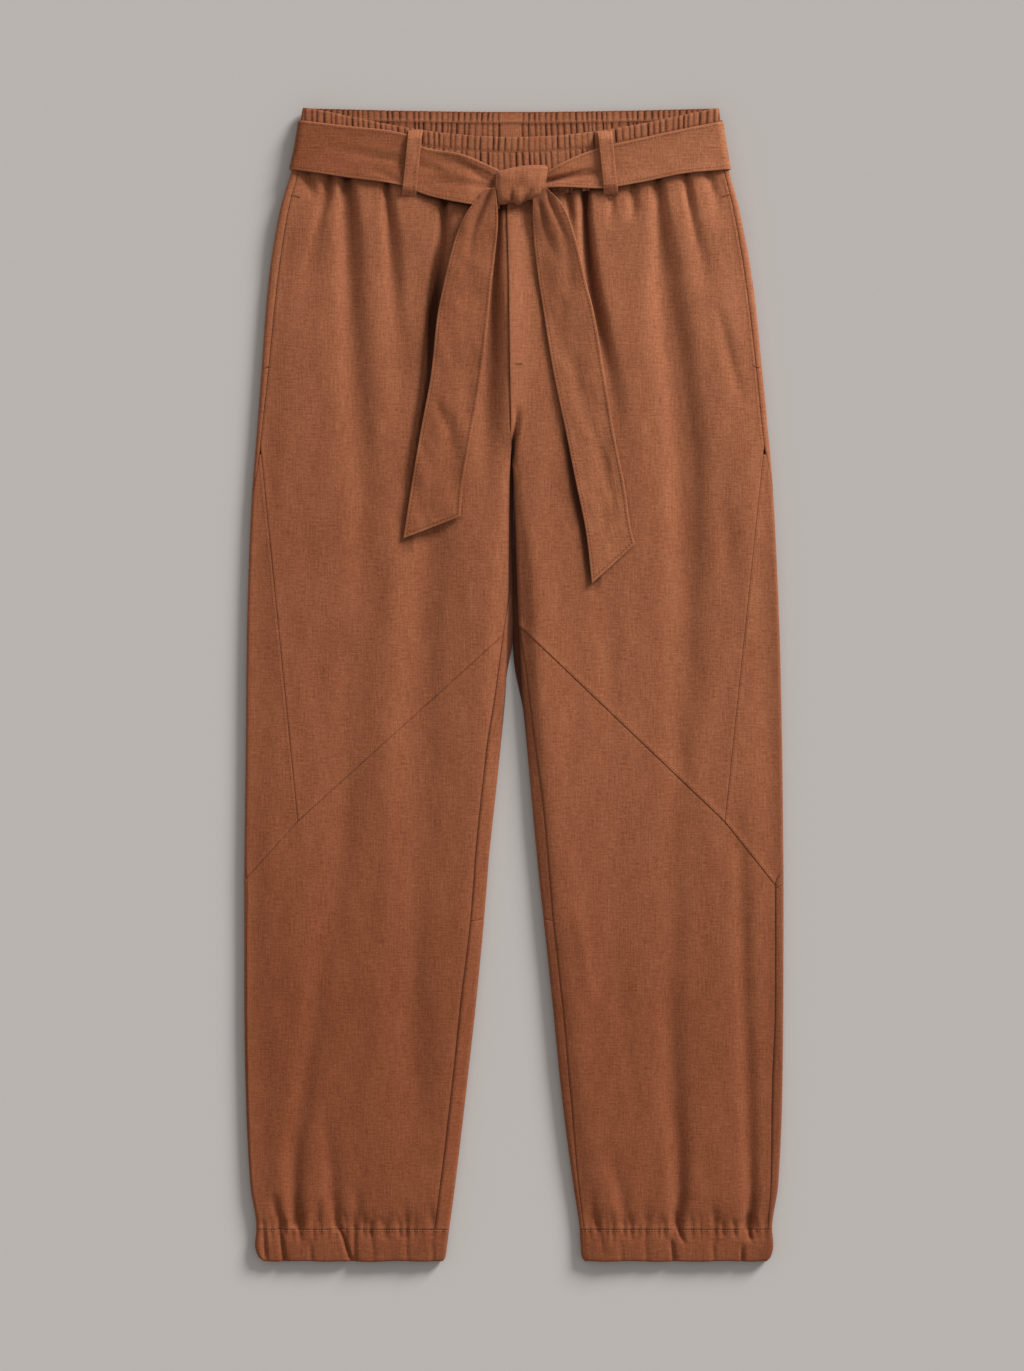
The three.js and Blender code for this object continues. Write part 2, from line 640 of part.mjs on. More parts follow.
// ---- The garment ----
const garment = new THREE.Group();
garment.name = "harem_pants";
garment.add(mesh("waistband_front", waistbandFront()), mesh("waistband_back", waistbandBack()));
for (const leg of Object.values(legs)) {
  garment.add(
    mesh(`front_upper_${leg.name}`, frontUpper(leg)),
    mesh(`side_panel_${leg.name}`, sidePanel(leg)),
    mesh(`front_lower_${leg.name}`, frontLower(leg)),
    mesh(`back_upper_${leg.name}`, backUpper(leg)),
    mesh(`back_lower_${leg.name}`, backLower(leg)),
    mesh(`cuff_${leg.name}`, cuff(leg)),
    mesh(`belt_front_${leg.name}`, sashFrontStretch(leg), sashLinen),
    mesh(`belt_tail_${leg.name}`, tail(tails[leg.name]), sashLinen),
  );
}
garment.add(mesh("belt_back", sashBackStretch(), sashLinen), mesh("belt_knot", sashKnot(), sashLinen));
for (const loop of loops) garment.add(mesh(loop.name, frontLoop(loop)));
garment.add(mesh("belt_loop_back", rearLoop()));

export default garment;
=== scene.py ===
"""Harem pants in washed linen, laid flat with the front up: their looks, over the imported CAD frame.

Sizes in the tables are millimetres: +X across, +Y towards the waist, +Z up, from the middle of the garment on
the surface that it lies on. Meshes are in metres. Everywhere, x is a place across and y a height.
"""

import logging
from collections.abc import Callable, Sequence
from dataclasses import dataclass, field
from enum import Enum

import bpy
import numpy as np
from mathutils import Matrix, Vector


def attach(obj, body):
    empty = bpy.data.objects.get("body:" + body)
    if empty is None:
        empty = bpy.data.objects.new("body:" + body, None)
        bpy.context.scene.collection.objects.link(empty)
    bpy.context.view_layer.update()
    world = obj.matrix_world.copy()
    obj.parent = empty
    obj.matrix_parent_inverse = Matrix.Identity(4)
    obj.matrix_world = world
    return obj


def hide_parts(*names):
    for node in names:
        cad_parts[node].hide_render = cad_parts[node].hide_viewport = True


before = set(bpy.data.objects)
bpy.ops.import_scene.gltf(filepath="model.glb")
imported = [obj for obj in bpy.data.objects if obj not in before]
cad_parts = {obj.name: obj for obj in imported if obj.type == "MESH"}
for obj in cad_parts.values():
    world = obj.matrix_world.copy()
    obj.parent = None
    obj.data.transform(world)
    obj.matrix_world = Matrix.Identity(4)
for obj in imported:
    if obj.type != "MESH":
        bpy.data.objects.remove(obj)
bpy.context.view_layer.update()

log = logging.getLogger("harem_pants")
Grid = np.ndarray
Row = tuple[float, ...]
Colour = tuple[float, float, float, float]
Piece = bpy.types.Object
Material = bpy.types.Material
Socket = bpy.types.NodeSocket
Inputs = dict[int | str, object]

METRE = 1000.0
WALL = 1.5
BAND_WALL = 2.0
EDGE = 3.25  # how far a side edge turns in, across
HALF_TURN = np.pi * EDGE  # distance round a turned edge, from the front to the back
HALF_THICK = 4.3  # half the height of the two layers together
CROTCH = 208.0
CROTCH_STEP = 12.0  # how far below the crotch the inseam takes to turn in
WAIST_TOP = 500.0
BAND_HEIGHT = 50.0
BAND_LAP = 2.0  # how far the panels reach up into the waistband
BAND_SPAN = 182.0  # from the middle of the waistband to its end
CUFF_TOP = -472.0
CUFF_FOOT = -500.0
KNEE_HEIGHT = -118.0
TAIL_TOP = 430.0  # where the sash's tails come out from under the knot
SASH_ZONE = 300.0  # only above this height does the sash shade the front
LOWEST = -5.0  # how far the front may sink before it meets the back
LOOP_HEIGHT = 5.4
SASH_LIFT = 3.3  # the waist rests on the sash's back stretch and its loop
ROUNDS = 8  # passes that settle a band's heights and places, each of which depends on the other
PANEL_ROUNDS = 14  # the same for a panel
GRID = 256  # random heights each way in a field of swells


class Run(Enum):
    """Which way a fold runs."""

    DOWN = "down"
    ACROSS = "across"


def smooth(share: Grid) -> Grid:
    """A soft step: 0 up to a share of 0, and 1 from a share of 1 on."""
    held = np.clip(share, 0.0, 1.0)
    return held * held * (3.0 - 2.0 * held)


def fade(value: Grid, start: Grid, end: Grid) -> Grid:
    """A soft step from 0 where a value is at the start to 1 where it is at the end."""
    return smooth((value - start) / (end - start))


def bell(offset: Grid, width: Grid) -> Grid:
    """A soft bump: 1 where the offset is 0, and nearly gone two widths away."""
    return np.exp(-((offset / width) ** 2))


def decay(distance: Grid, reach: float) -> Grid:
    """1 at no distance, dying away over a reach."""
    return np.exp(-distance / reach)


def mix(low: Grid, high: Grid, share: Grid) -> Grid:
    """The value that lies at a share of the way from low to high."""
    return low + (high - low) * share


def held_above(value: Grid, least: Grid, bend: float) -> Grid:
    """The value, eased over a bend so that it never falls below the least."""
    return least + bend * np.logaddexp(0.0, (value - least) / bend)


def points_at(x: Grid, y: Grid, z: Grid) -> Grid:
    """Points, with a last axis of three."""
    return np.stack([x, y, z], -1)


def even(count: int) -> Grid:
    """Shares that divide a length evenly."""
    return np.linspace(0.0, 1.0, count + 1)


def graded(length: float, step: float, start: bool = True, end: bool = True) -> Grid:
    """Shares of a length, from 0 to 1, closer together towards its ends.

    Args:
        length: the length to divide.
        step: the widest step.
        start: whether the steps are fine at the start.
        end: whether they are fine at the end.

    Returns:
        The shares.
    """
    fine = [s for s in (0.35, 0.45, 0.6, 0.8, 1.1, 1.5, 2.0) if s < step]
    left, right = (fine if start else []), (fine[::-1] if end else [])
    count = max(2, round((length - sum(left) - sum(right)) / step))
    steps = np.array(left + [step] * count + right)
    return np.concatenate([[0.0], np.cumsum(steps) / steps.sum()])


class Curve:
    """A smooth line through rows of (place, value) that stays between its rows' values."""

    def __init__(self, places: Sequence[float], values: Sequence[float]) -> None:
        """Works out the slope at each row.

        Args:
            places: where the rows are, rising or falling.
            values: the value at each of them.
        """
        order = np.argsort(places)
        self.places = np.array(places, float)[order]
        self.values = np.array(values, float)[order]
        self.steps = np.diff(self.places)
        slopes = np.diff(self.values) / self.steps
        before, after = slopes[:-1], slopes[1:]
        bent = before * after > 0
        near, far = 2 * self.steps[1:] + self.steps[:-1], self.steps[1:] + 2 * self.steps[:-1]
        weighed = near / np.where(bent, before, 1.0) + far / np.where(bent, after, 1.0)
        self.slopes = np.concatenate([slopes[:1], np.where(bent, (near + far) / weighed, 0.0), slopes[-1:]])

    def at(self, place: Grid) -> Grid:
        """Reads the line.

        Args:
            place: where to read it.

        Returns:
            Its values, held past both ends.
        """
        held = np.clip(place, self.places[0], self.places[-1])
        i = np.clip(np.searchsorted(self.places, held, side="right") - 1, 0, len(self.steps) - 1)
        step = self.steps[i]
        t = (held - self.places[i]) / step
        leave, arrive = self.slopes[i] * step, self.slopes[i + 1] * step
        line = mix(self.values[i], self.values[i + 1], smooth(t))
        return line + t * (1 - t) * ((1 - t) * leave - t * arrive)


class Fold:
    """A soft ridge, or a trough where its rise is negative."""

    def __init__(self, *rows: Row, run: Run = Run.DOWN) -> None:
        """Keeps the fold's rows.

        Args:
            rows: place along the run, place across it, half width and rise.
            run: which way the fold runs.
        """
        places, middles, widths, rises = zip(*rows)
        self.run = run
        self.ends = (min(places), max(places))
        self.middle, self.width, self.height = (Curve(places, v) for v in (middles, widths, rises))

    def rise(self, x: Grid, y: Grid) -> Grid:
        """How far the fold lifts the cloth.

        Args:
            x: places across.
            y: heights.

        Returns:
            The rise at each point.
        """
        along, across = (y, x) if self.run is Run.DOWN else (x, y)
        past = np.maximum(self.ends[0] - along, along - self.ends[1])
        form = bell(across - self.middle.at(along), self.width.at(along))
        return self.height.at(along) * form * fade(past, 6, 0)


class Unevenness:
    """Gentle swells at seeded random heights, as washed linen has."""

    def __init__(self, seed: int, across: float, along: float, height: float) -> None:
        """Draws the heights.

        Args:
            seed: for the random heights.
            across: distance between swells across.
            along: distance between swells along.
            height: how high they are.
        """
        self.steps = (across, along)
        self.height = height
        self.heights = np.random.default_rng(seed).uniform(-1, 1, (GRID, GRID))

    def rise(self, x: Grid, y: Grid) -> Grid:
        """How far the swells lift the cloth.

        Args:
            x: places across.
            y: heights.

        Returns:
            The rise at each point.
        """
        across, along = x / self.steps[0] + GRID / 2, y / self.steps[1] + GRID / 2
        i, j = np.floor(across).astype(int), np.floor(along).astype(int)
        s, t = smooth(across - i), smooth(along - j)
        at = lambda a, b: self.heights[(i + a) % GRID, (j + b) % GRID]
        return self.height * mix(mix(at(0, 0), at(1, 0), s), mix(at(0, 1), at(1, 1), s), t)


def parted(y: Grid) -> Grid:
    """How far the legs have parted at heights: 0 just above the crotch, and 1 a little below it."""
    return fade(y, CROTCH + 10, CROTCH - 30)


def lifted(forms: Sequence[Fold | Unevenness], x: Grid, y: Grid) -> Grid:
    """How far folds or swells lift the cloth together at points."""
    return sum(form.rise(x, y) for form in forms)


def sunk(folds: Sequence[Fold], x: Grid, y: Grid, least: float) -> Grid:
    """How much deeper than a least depth the folds lie at points."""
    return np.maximum(0.0, -lifted(folds, x, y) - least)


@dataclass(frozen=True)
class Seam:
    """How a panel's edge lies where it meets a seam."""

    lift: float = 0.0  # the ridge that the turned allowance makes
    reach: float = 4.0  # how wide the ridge is
    sink: float = 0.8  # how far the edge dips into the seam
    lip: float = 0.9  # how wide the dip is
    slant: float = 1.0  # turns a distance up or across into one square to the seam
    dark: float = 0.45  # how dark the seam's line is painted, as shade in its groove

    def rise(self, distance: Grid) -> Grid:
        """How far the cloth lies above its panel at distances from the seam."""
        away = np.maximum(distance, 0.0) * self.slant
        return self.lift * bell(away, self.reach) - self.sink * decay(away, self.lip)

    def shade(self, distance: Grid) -> Grid:
        """How much painted shade darkens the seam's groove, below 0, and how much paler its ridge is, above
        0, partly as wear and partly as a painted highlight.
        """
        away = np.maximum(distance, 0.0) * self.slant
        return 0.25 * min(1.0, self.lift) * bell(away - 2.0, 1.3) - self.dark * decay(away, self.lip)


@dataclass
class Leg:
    """One leg's sections. Each row: height, side edge, side seam's inset, inner edge, inseam's inset."""

    name: str
    sign: int
    rows: tuple[Row, ...]
    knee_across: float
    inner_drop: float
    knee_end: float
    gap_fade: tuple[float, float]  # between these heights the lips of the gap close up
    shoulder: Curve  # how far the front slopes down to the inner edge
    sash_foot: Curve  # height of the sash's lower edge
    tail_edge: Curve  # the left edge of the sash's tail
    tail_gap: Curve  # how wide the painted shadow beside that edge is
    tail_dark: Curve  # and how dark it is painted
    folds: tuple[Fold, ...]
    back_folds: tuple[Fold, ...]
    swells: tuple[Unevenness, ...] = field(init=False)
    puff_height: Curve = Curve((-500, -478, -450, 0, 392, 425, 450), (0.3, 0.5, 2.4, 2.6, 2.6, 1.6, 0.8))

    def __post_init__(self) -> None:
        """Makes the smooth lines of the sections and of the seams."""
        heights, outer, seam, inner, inseam = zip(*self.rows)
        self.outer, self.inner, self.inset = (Curve(heights, v) for v in (outer, inner, inseam))
        bent = [EDGE * np.arcsin(1 - s / EDGE) - EDGE if s < EDGE else -s for s in seam]
        turned = [edge + turn for edge, turn in zip(outer, bent)]
        self.side_seam = Curve(heights, turned)
        seed = 11 if self.sign < 0 else 23
        sizes = ((30.0, 150.0, 1.05), (12.0, 60.0, 0.32), (7.0, 11.0, 0.10), (24.0, 20.0, 0.16))
        self.swells = tuple(Unevenness(seed + k, *size) for k, size in enumerate(sizes))

    def turns(self, y: Grid) -> tuple[Grid, Grid, Grid]:
        """Where the section turns at its two edges, and how far the inner edge turns in."""
        radius = EDGE * fade(y, CROTCH, CROTCH - 40)
        return self.outer.at(y) - EDGE, self.inner.at(y) + radius, radius

    def back_turn(self, y: Grid) -> Grid:
        """Distance round the section to where the back meets the inner edge's turn."""
        outer_turn, inner_turn, _ = self.turns(y)
        return 2 * outer_turn - inner_turn + HALF_TURN

    def place(self, y: Grid, around: Grid, out: Grid) -> tuple[Grid, Grid, Grid]:
        """Finds points of the flat skin.

        Args:
            y: their heights.
            around: distances on the cloth from the centre line, out along the front, round the side edge and
                back along the underside.
            out: how far off the skin they are.

        Returns:
            Their places across and up, and how squarely the skin faces up there, from 1 to -1.
        """
        outer_turn, inner_turn, radius = self.turns(y)
        turned = (around - outer_turn) / EDGE
        behind = 2 * outer_turn + HALF_TURN - around
        wrapped = (inner_turn - behind) / EDGE
        back = turned >= np.pi
        inner_back = back & (y < CROTCH) & (wrapped > 0)
        over = inner_back & (wrapped > np.pi)
        inner_front = (y < CROTCH) & (around < inner_turn)
        zones = [over, inner_back, back, turned > 0, inner_front]
        resumed = inner_turn + (wrapped - np.pi) * EDGE
        centre = np.select(zones, [resumed, inner_turn, behind, outer_turn, inner_turn], around)
        swing = np.select(zones, [0.0, np.pi - wrapped, np.pi, turned, (inner_turn - around) / EDGE], 0.0)
        reach = np.select(zones, [-radius, -radius, 0.0, EDGE, -radius], 0.0)
        facing = np.cos(swing)
        lip = np.where(inner_back & (wrapped < np.pi / 2), np.sin(2 * np.clip(wrapped, 0.0, np.pi / 2)), 0.0)
        gap = fade(y, *self.gap_fade) * np.maximum(0.0, self.inner.at(y) - 0.15)
        across = centre + (reach + np.sign(reach) * out) * np.sin(swing) - 1.3 * lip * gap
        under = SASH_LIFT * fade(y, 350, 415)
        return self.sign * across, under + HALF_THICK + (HALF_THICK + out) * facing, facing

    def level(self, x: Grid, y: Grid) -> Grid:
        """Height of the flat front at points."""
        return self.place(y, np.abs(x), 0.0)[1]

    def puff(self, x: Grid, y: Grid) -> Grid:
        """How far the front swells above its edges.

        Args:
            x: places across.
            y: heights.

        Returns:
            The swell at each point.
        """
        away = np.abs(x) - self.inner.at(y)
        split = parted(y)
        inner = smooth(away / (20.0 - 12.0 * fade(y, 70, 160)))
        ridge = fade(away, 0, 15) * fade(away, 52, 12) - 0.15 * fade(away, 15, 0)
        swell = self.puff_height.at(y) * fade(self.outer.at(y) - np.abs(x), 0, 30)
        return swell * (1 - split + split * inner) + self.shoulder.at(y) * split * ridge

    def front_rise(self, x: Grid, y: Grid) -> Grid:
        """How far the front lies above the flat skin, with its folds and swells.

        Args:
            x: places across.
            y: heights.

        Returns:
            The rise at each point.
        """
        edge = fade(self.outer.at(y) - np.abs(x), 0, 12)
        strength = 1.1 + 0.75 * fade(y, -40, 120) + 0.6 * fade(y, -435, -465)
        uneven = strength * lifted(self.folds, x, y) + lifted(self.swells, x, y)
        return held_above(self.puff(x, y) + uneven * (0.25 + 0.75 * edge), LOWEST, 0.8)

    def back_rise(self, x: Grid, y: Grid) -> Grid:
        """How far the underside is lifted off the surface by its own folds."""
        uneven = lifted(self.back_folds, x, y) + lifted(self.swells, x, y)
        return np.maximum(0.0, uneven) * fade(self.outer.at(y) - np.abs(x), 0, 25)

    def crotch_shade(self, x: Grid, y: Grid) -> Grid:
        """How much painted shade darkens the front in the notch where the legs part, and in the fold above
        it.

        Args:
            x: places across.
            y: heights.

        Returns:
            The darkness at each point.
        """
        notch = bell(x + 0.7 - 0.1 * np.maximum(0.0, y - CROTCH), 1.5)
        notch = notch * fade(y, 192, 202) * fade(y, 227, 211)
        fold = bell(x + 2.5, 0.55) * fade(y, 206, 212) * fade(y, 252, 244)
        return 1.2 * notch + 0.5 * fold

    def sash_shade(self, x: Grid, y: Grid) -> Grid:
        """How much painted shadow darkens the front under the sash and its knot, in the pleat beside the
        right tail, and beside the tail's left edge.

        Args:
            x: places across.
            y: heights.

        Returns:
            The darkness at each point.
        """
        across = np.abs(x)
        below = np.maximum(0.0, self.sash_foot.at(across) - y)
        beside = fade(across, 28, 36) * fade(across, 92, 76) * decay(below, 6.0)
        covered = 0.75 * decay(below, 2.6) + 0.8 * beside
        knot = fade(x, -15, -12) * fade(x, 26, 22) * fade(y, 404, 412)
        pleat = bell(x - 62.5 - 0.0007 * (440.0 - y) ** 2, 2.8) * fade(y, SASH_ZONE, 390)
        beyond = self.tail_edge.at(y) - x
        strip = self.tail_dark.at(y) * (beyond > -8.0) * fade(beyond - self.tail_gap.at(y), 3, 0)
        return covered * (y > SASH_ZONE) + 0.7 * knot + 0.8 * pleat + strip

    def shade(self, x: Grid, y: Grid) -> Grid:
        """How much painted shade darkens the front, below 0, and painted highlight lightens it, above 0, away
        from its seams.

        Args:
            x: places across.
            y: heights.

        Returns:
            The painted shade in deep folds, at the crotch, under the sash, on the slopes to the leg's inner
            edge and along the right leg's side, and the painted highlight on the fly and along the left leg's
            side.
        """
        # painted highlight on the swell of the fly
        fly = 0.3 * bell(x - 3.0, 9.0) * fade(y, 215, 255) * fade(y, 400, 380)
        # painted highlight along the left leg's side edge, painted shade along the right leg's
        side = -0.4 * fade(y, 190, 100) if self.sign > 0 else 0.2
        side = side * fade(self.outer.at(y) - np.abs(x), 22, 0)
        # painted shade on the slope down to the inner edge
        slope = parted(y) * fade(np.abs(x) - self.inner.at(y), 13, 4)
        steep = 0.06 * np.maximum(0.0, self.shoulder.at(y) - 1.6)
        # painted shade in the deep folds, heavier just below the sash
        near_sash = decay(np.maximum(0.0, self.sash_foot.at(np.abs(x)) - y), 14.0) * (y > SASH_ZONE)
        deep = np.minimum(0.48 + 0.5 * near_sash, (0.1 + 0.2 * near_sash) * sunk(self.folds, x, y, 1.6))
        return fly + side - steep * slope - deep - self.crotch_shade(x, y) - self.sash_shade(x, y)

    def skin(self, y: Grid, around: Grid, out: Grid) -> Grid:
        """Points of the finished skin, folds and all.

        Args:
            y: their heights.
            around: distances round the section.
            out: how far off the skin they are.

        Returns:
            The points, with a last axis of three.
        """
        x, z, facing = self.place(y, around, out)
        folded = smooth(facing) * self.front_rise(x, y) + smooth(-facing) * self.back_rise(x, y)
        return points_at(x, y + np.zeros_like(x), z + folded)

    def panel_seam(self, y: Grid) -> Grid:
        """Distance round the section to the side panel's front seam."""
        start = self.side_seam.at(np.array(CROTCH))
        return mix(start, self.knee_across, (CROTCH - y) / (CROTCH - KNEE_HEIGHT))

    def front_outer(self, y: Grid) -> Grid:
        """Distance round the section to the outer boundary of the upper front."""
        return np.where(y >= CROTCH, self.side_seam.at(y), self.panel_seam(y))

    def front_inner(self, y: Grid) -> Grid:
        """Distance round the section to the centre seam, and below the crotch to the inseam.

        Args:
            y: heights.

        Returns:
            The distance at each height.
        """
        inset = self.inset.at(y)
        turn = np.clip((CROTCH - y) / CROTCH_STEP, 0.0, 1.0)
        bent = EDGE * np.arcsin(np.clip(1 - inset / EDGE, 0.0, 1.0))
        return np.where(inset >= EDGE, self.inner.at(y) + inset, self.turns(y)[1] - bent * turn)

    def back_inner(self, y: Grid) -> Grid:
        """The same line reached from the back."""
        above = self.back_turn(y) + HALF_TURN / 2 * np.clip((CROTCH - y) / CROTCH_STEP, 0.0, 1.0)
        below = self.back_turn(y) + HALF_TURN - self.turns(y)[1] + self.front_inner(y)
        return np.where(y > CROTCH - CROTCH_STEP, above, below)

    def diagonal(self, across: Grid) -> Grid:
        """Height of the diagonal knee seam.

        Args:
            across: distances from the centre line.

        Returns:
            The height at each distance.
        """
        edge = np.array(self.knee_end)
        outer_end = min(float(self.side_seam.at(edge)), float(self.outer.at(edge)))
        past = mix(KNEE_HEIGHT, self.knee_end, (across - self.knee_across) / (outer_end - self.knee_across))
        before = KNEE_HEIGHT + self.inner_drop * (self.knee_across - across)
        return np.where(across < self.knee_across, before, past)

    def back_knee(self, across: Grid) -> Grid:
        """Height of the seam across the back of the knee."""
        edge = np.array(self.knee_end)
        places = (float(self.inner.at(edge)) + EDGE, 130.0, float(self.outer.at(edge)))
        return Curve(places, (-203.0, -222.0, self.knee_end)).at(across)


def by_side(side: Grid, legs: Sequence[Leg], read: Callable[[Leg], Grid]) -> Grid:
    """What the left leg gives where the side is below 0, and what the right leg gives elsewhere."""
    return np.where(side < 0, *(read(leg) for leg in legs))


@dataclass(frozen=True)
class Cloth:
    """A finished sheet's name, its cut and how it is held."""

    name: str
    flat: tuple[float, float]
    area: float | None = None
    held: str = "laid"
    rests_on: tuple[str, ...] = ("surface",)
    slot: str = "linen"


def quads(a: Grid, b: Grid, c: Grid, d: Grid) -> Grid:
    """Faces with one corner from each of four grids of vertices."""
    return np.stack([a.ravel(), b.ravel(), c.ravel(), d.ravel()], 1)


def put(name: str, data: bpy.types.ID) -> Piece:
    """Puts an object in the scene.

    Args:
        name: its name.
        data: its mesh, light or camera.

    Returns:
        The object.
    """
    piece = bpy.data.objects.new(name, data)
    bpy.context.scene.collection.objects.link(piece)
    return piece


def solid(name: str, points: Grid, faces: Grid, flat: Grid, shade: Grid) -> Piece:
    """Makes a smooth closed mesh object whose faces point outwards.

    Args:
        name: the piece's name.
        points: its vertices, in metres.
        faces: four vertices for each face.
        flat: each vertex's place on the flat cloth, in metres.
        shade: each vertex's painted shade, below 0, or paler cloth, above 0, partly wear and partly painted
            highlight.

    Returns:
        The object, in the scene.
    """
    a, b, c, d = (points[faces[:, k]] for k in range(4))
    volume = np.einsum("ij,ij->", a, np.cross(b, c)) + np.einsum("ij,ij->", a, np.cross(c, d))
    turned = faces[:, ::-1] if volume < 0 else faces
    mesh = bpy.data.meshes.new(f"{name}_cloth")
    mesh.vertices.add(len(points))
    mesh.vertices.foreach_set("co", points.astype(np.float32).ravel())
    mesh.loops.add(turned.size)
    mesh.loops.foreach_set("vertex_index", turned.astype(np.int32).ravel())
    mesh.polygons.add(len(turned))
    mesh.polygons.foreach_set("loop_start", np.arange(0, turned.size, 4, dtype=np.int32))
    mesh.update(calc_edges=True)
    mesh.validate()
    mesh.shade_smooth()
    corners = np.zeros(len(mesh.loops), np.int32)
    mesh.loops.foreach_get("vertex_index", corners)
    layer = mesh.uv_layers.new(name="cloth")
    layer.uv.foreach_set("vector", flat[corners].astype(np.float32).ravel())
    # the shade attribute carries painted shade and painted highlights, besides worn paler rims
    mesh.attributes.new("shade", "FLOAT", "POINT").data.foreach_set("value", shade.astype(np.float32))
    return put(mesh.name, mesh)


def shell(
    name: str, outer: Grid, inner: Grid, cloth: tuple[Grid, Grid], shade: Grid, closed: bool = False
) -> Piece:
    """Joins two layers of points into one closed shell.

    Args:
        name: the piece's name.
        outer: rows by columns by three, in millimetres.
        inner: the same for the other layer.
        cloth: rows by columns of places across and along the flat cloth, in millimetres.
        shade: rows by columns, the painted shade, below 0, or paler cloth, above 0.
        closed: whether the last column meets the first.

    Returns:
        The piece, not yet dressed.
    """
    rows, columns = outer.shape[:2]
    layer = rows * columns
    number = np.arange(layer).reshape(rows, columns)
    right = np.roll(number, -1, 1) if closed else number[:, 1:]
    left = number if closed else number[:, :-1]
    faces = [
        quads(left[:-1], left[1:], right[1:], right[:-1]),
        quads(left[:-1] + layer, right[:-1] + layer, right[1:] + layer, left[1:] + layer),
        quads(left[0], right[0], right[0] + layer, left[0] + layer),
        quads(left[-1], left[-1] + layer, right[-1] + layer, right[-1]),
    ]
    if not closed:
        first, last = number[:, 0], number[:, -1]
        faces.append(quads(first[:-1], first[:-1] + layer, first[1:] + layer, first[1:]))
        faces.append(quads(last[:-1], last[1:], last[1:] + layer, last[:-1] + layer))
    points = np.concatenate([outer.reshape(-1, 3), inner.reshape(-1, 3)]) / METRE
    flat = np.concatenate([np.stack(cloth, -1).reshape(-1, 2)] * 2) / METRE
    return solid(name, points, np.concatenate(faces), flat, np.concatenate([shade.ravel()] * 2))


@dataclass
class Panel:
    """A piece of a leg between two lines round the section, first and last, and an upper and a lower edge."""

    leg: Leg
    cloth: Cloth
    first: Callable[[Grid], Grid]
    last: Callable[[Grid], Grid]
    top: Callable[[Grid], Grid]
    bottom: Callable[[Grid], Grid]
    turns: Callable[[Grid], list[Grid]]  # lines in between at which the surface starts or stops turning
    stops: list[Grid]
    rows: Grid
    guess: tuple[float, float]
    seams: tuple[Seam, Seam, Seam, Seam]

    def around(self, y: Grid) -> Grid:
        """Places round the section of the panel's columns.

        Args:
            y: rows by columns of heights.

        Returns:
            The distance round the section at each of them.
        """
        interval = np.concatenate([[0]] + [[k] * (len(s) - 1) for k, s in enumerate(self.stops)])
        part = np.concatenate([[0.0]] + [s[1:] for s in self.stops])
        breaks = [self.first(y), *self.turns(y), self.last(y)]
        least = [0.1 * (len(s) - 1) for s in self.stops]
        for k in range(1, len(breaks) - 1):
            breaks[k] = np.maximum(breaks[k], breaks[k - 1] + least[k - 1])
        for k in range(len(breaks) - 2, 0, -1):
            breaks[k] = np.minimum(breaks[k], breaks[k + 1] - least[k])
        stack, column = np.stack(breaks), np.arange(len(interval))
        return mix(stack[interval, :, column].T, stack[interval + 1, :, column].T, part)

    def grid(self) -> tuple[Grid, Grid]:
        """Finds the heights and places round the section of the panel's points."""
        count = 1 + sum(len(s) - 1 for s in self.stops)
        rows = np.repeat(self.rows[:, None], count, 1)
        y = mix(*self.guess, rows)
        for _ in range(PANEL_ROUNDS):
            across = np.abs(self.leg.place(y, self.around(y), 0.0)[0])
            y = mix(self.top(across), self.bottom(across), rows)
        return y, self.around(y)

    def build(self) -> Piece:
        """Makes the panel as a closed thin shell."""
        y, around = self.grid()
        x, _, facing = self.leg.place(y, around, 0.0)
        across = np.abs(x)
        away = (around - self.first(y), self.last(y) - around, self.top(across) - y, y - self.bottom(across))
        rise = sum(seam.rise(d) for seam, d in zip(self.seams, away))
        shade = sum(seam.shade(d) for seam, d in zip(self.seams, away))
        shade = shade + self.leg.shade(x, y) * smooth(facing)
        # painted shade on the inner edges' turns, where they meet in the gap below the crotch
        crevice = ((around < self.leg.turns(y)[1]) | (around > self.leg.back_turn(y))) & (y < CROTCH)
        shade = shade - 1.2 * crevice * fade(facing, 1.2, 0.2) * fade(y, -100, -10)
        rise = np.where(facing > 0.3, rise, np.minimum(rise, 0.0))
        outer, inner = self.leg.skin(y, around, rise), self.leg.skin(y, around, rise - WALL)
        return shell(self.cloth.name, outer, inner, (around, y), shade)


def waist_line(sag: float) -> Callable[[Grid], Grid]:
    """A waistband's lower edge, which sags by a depth at its centre."""
    return lambda x: WAIST_TOP - BAND_HEIGHT - sag * np.maximum(0.0, 1 - (x / BAND_SPAN) ** 2) ** 1.3


front_waist, back_waist = waist_line(25.5), waist_line(3.0)


def level_edge(height: float) -> Callable[[Grid], Grid]:
    """A panel's edge that lies straight across."""
    return lambda across: height + 0.0 * across


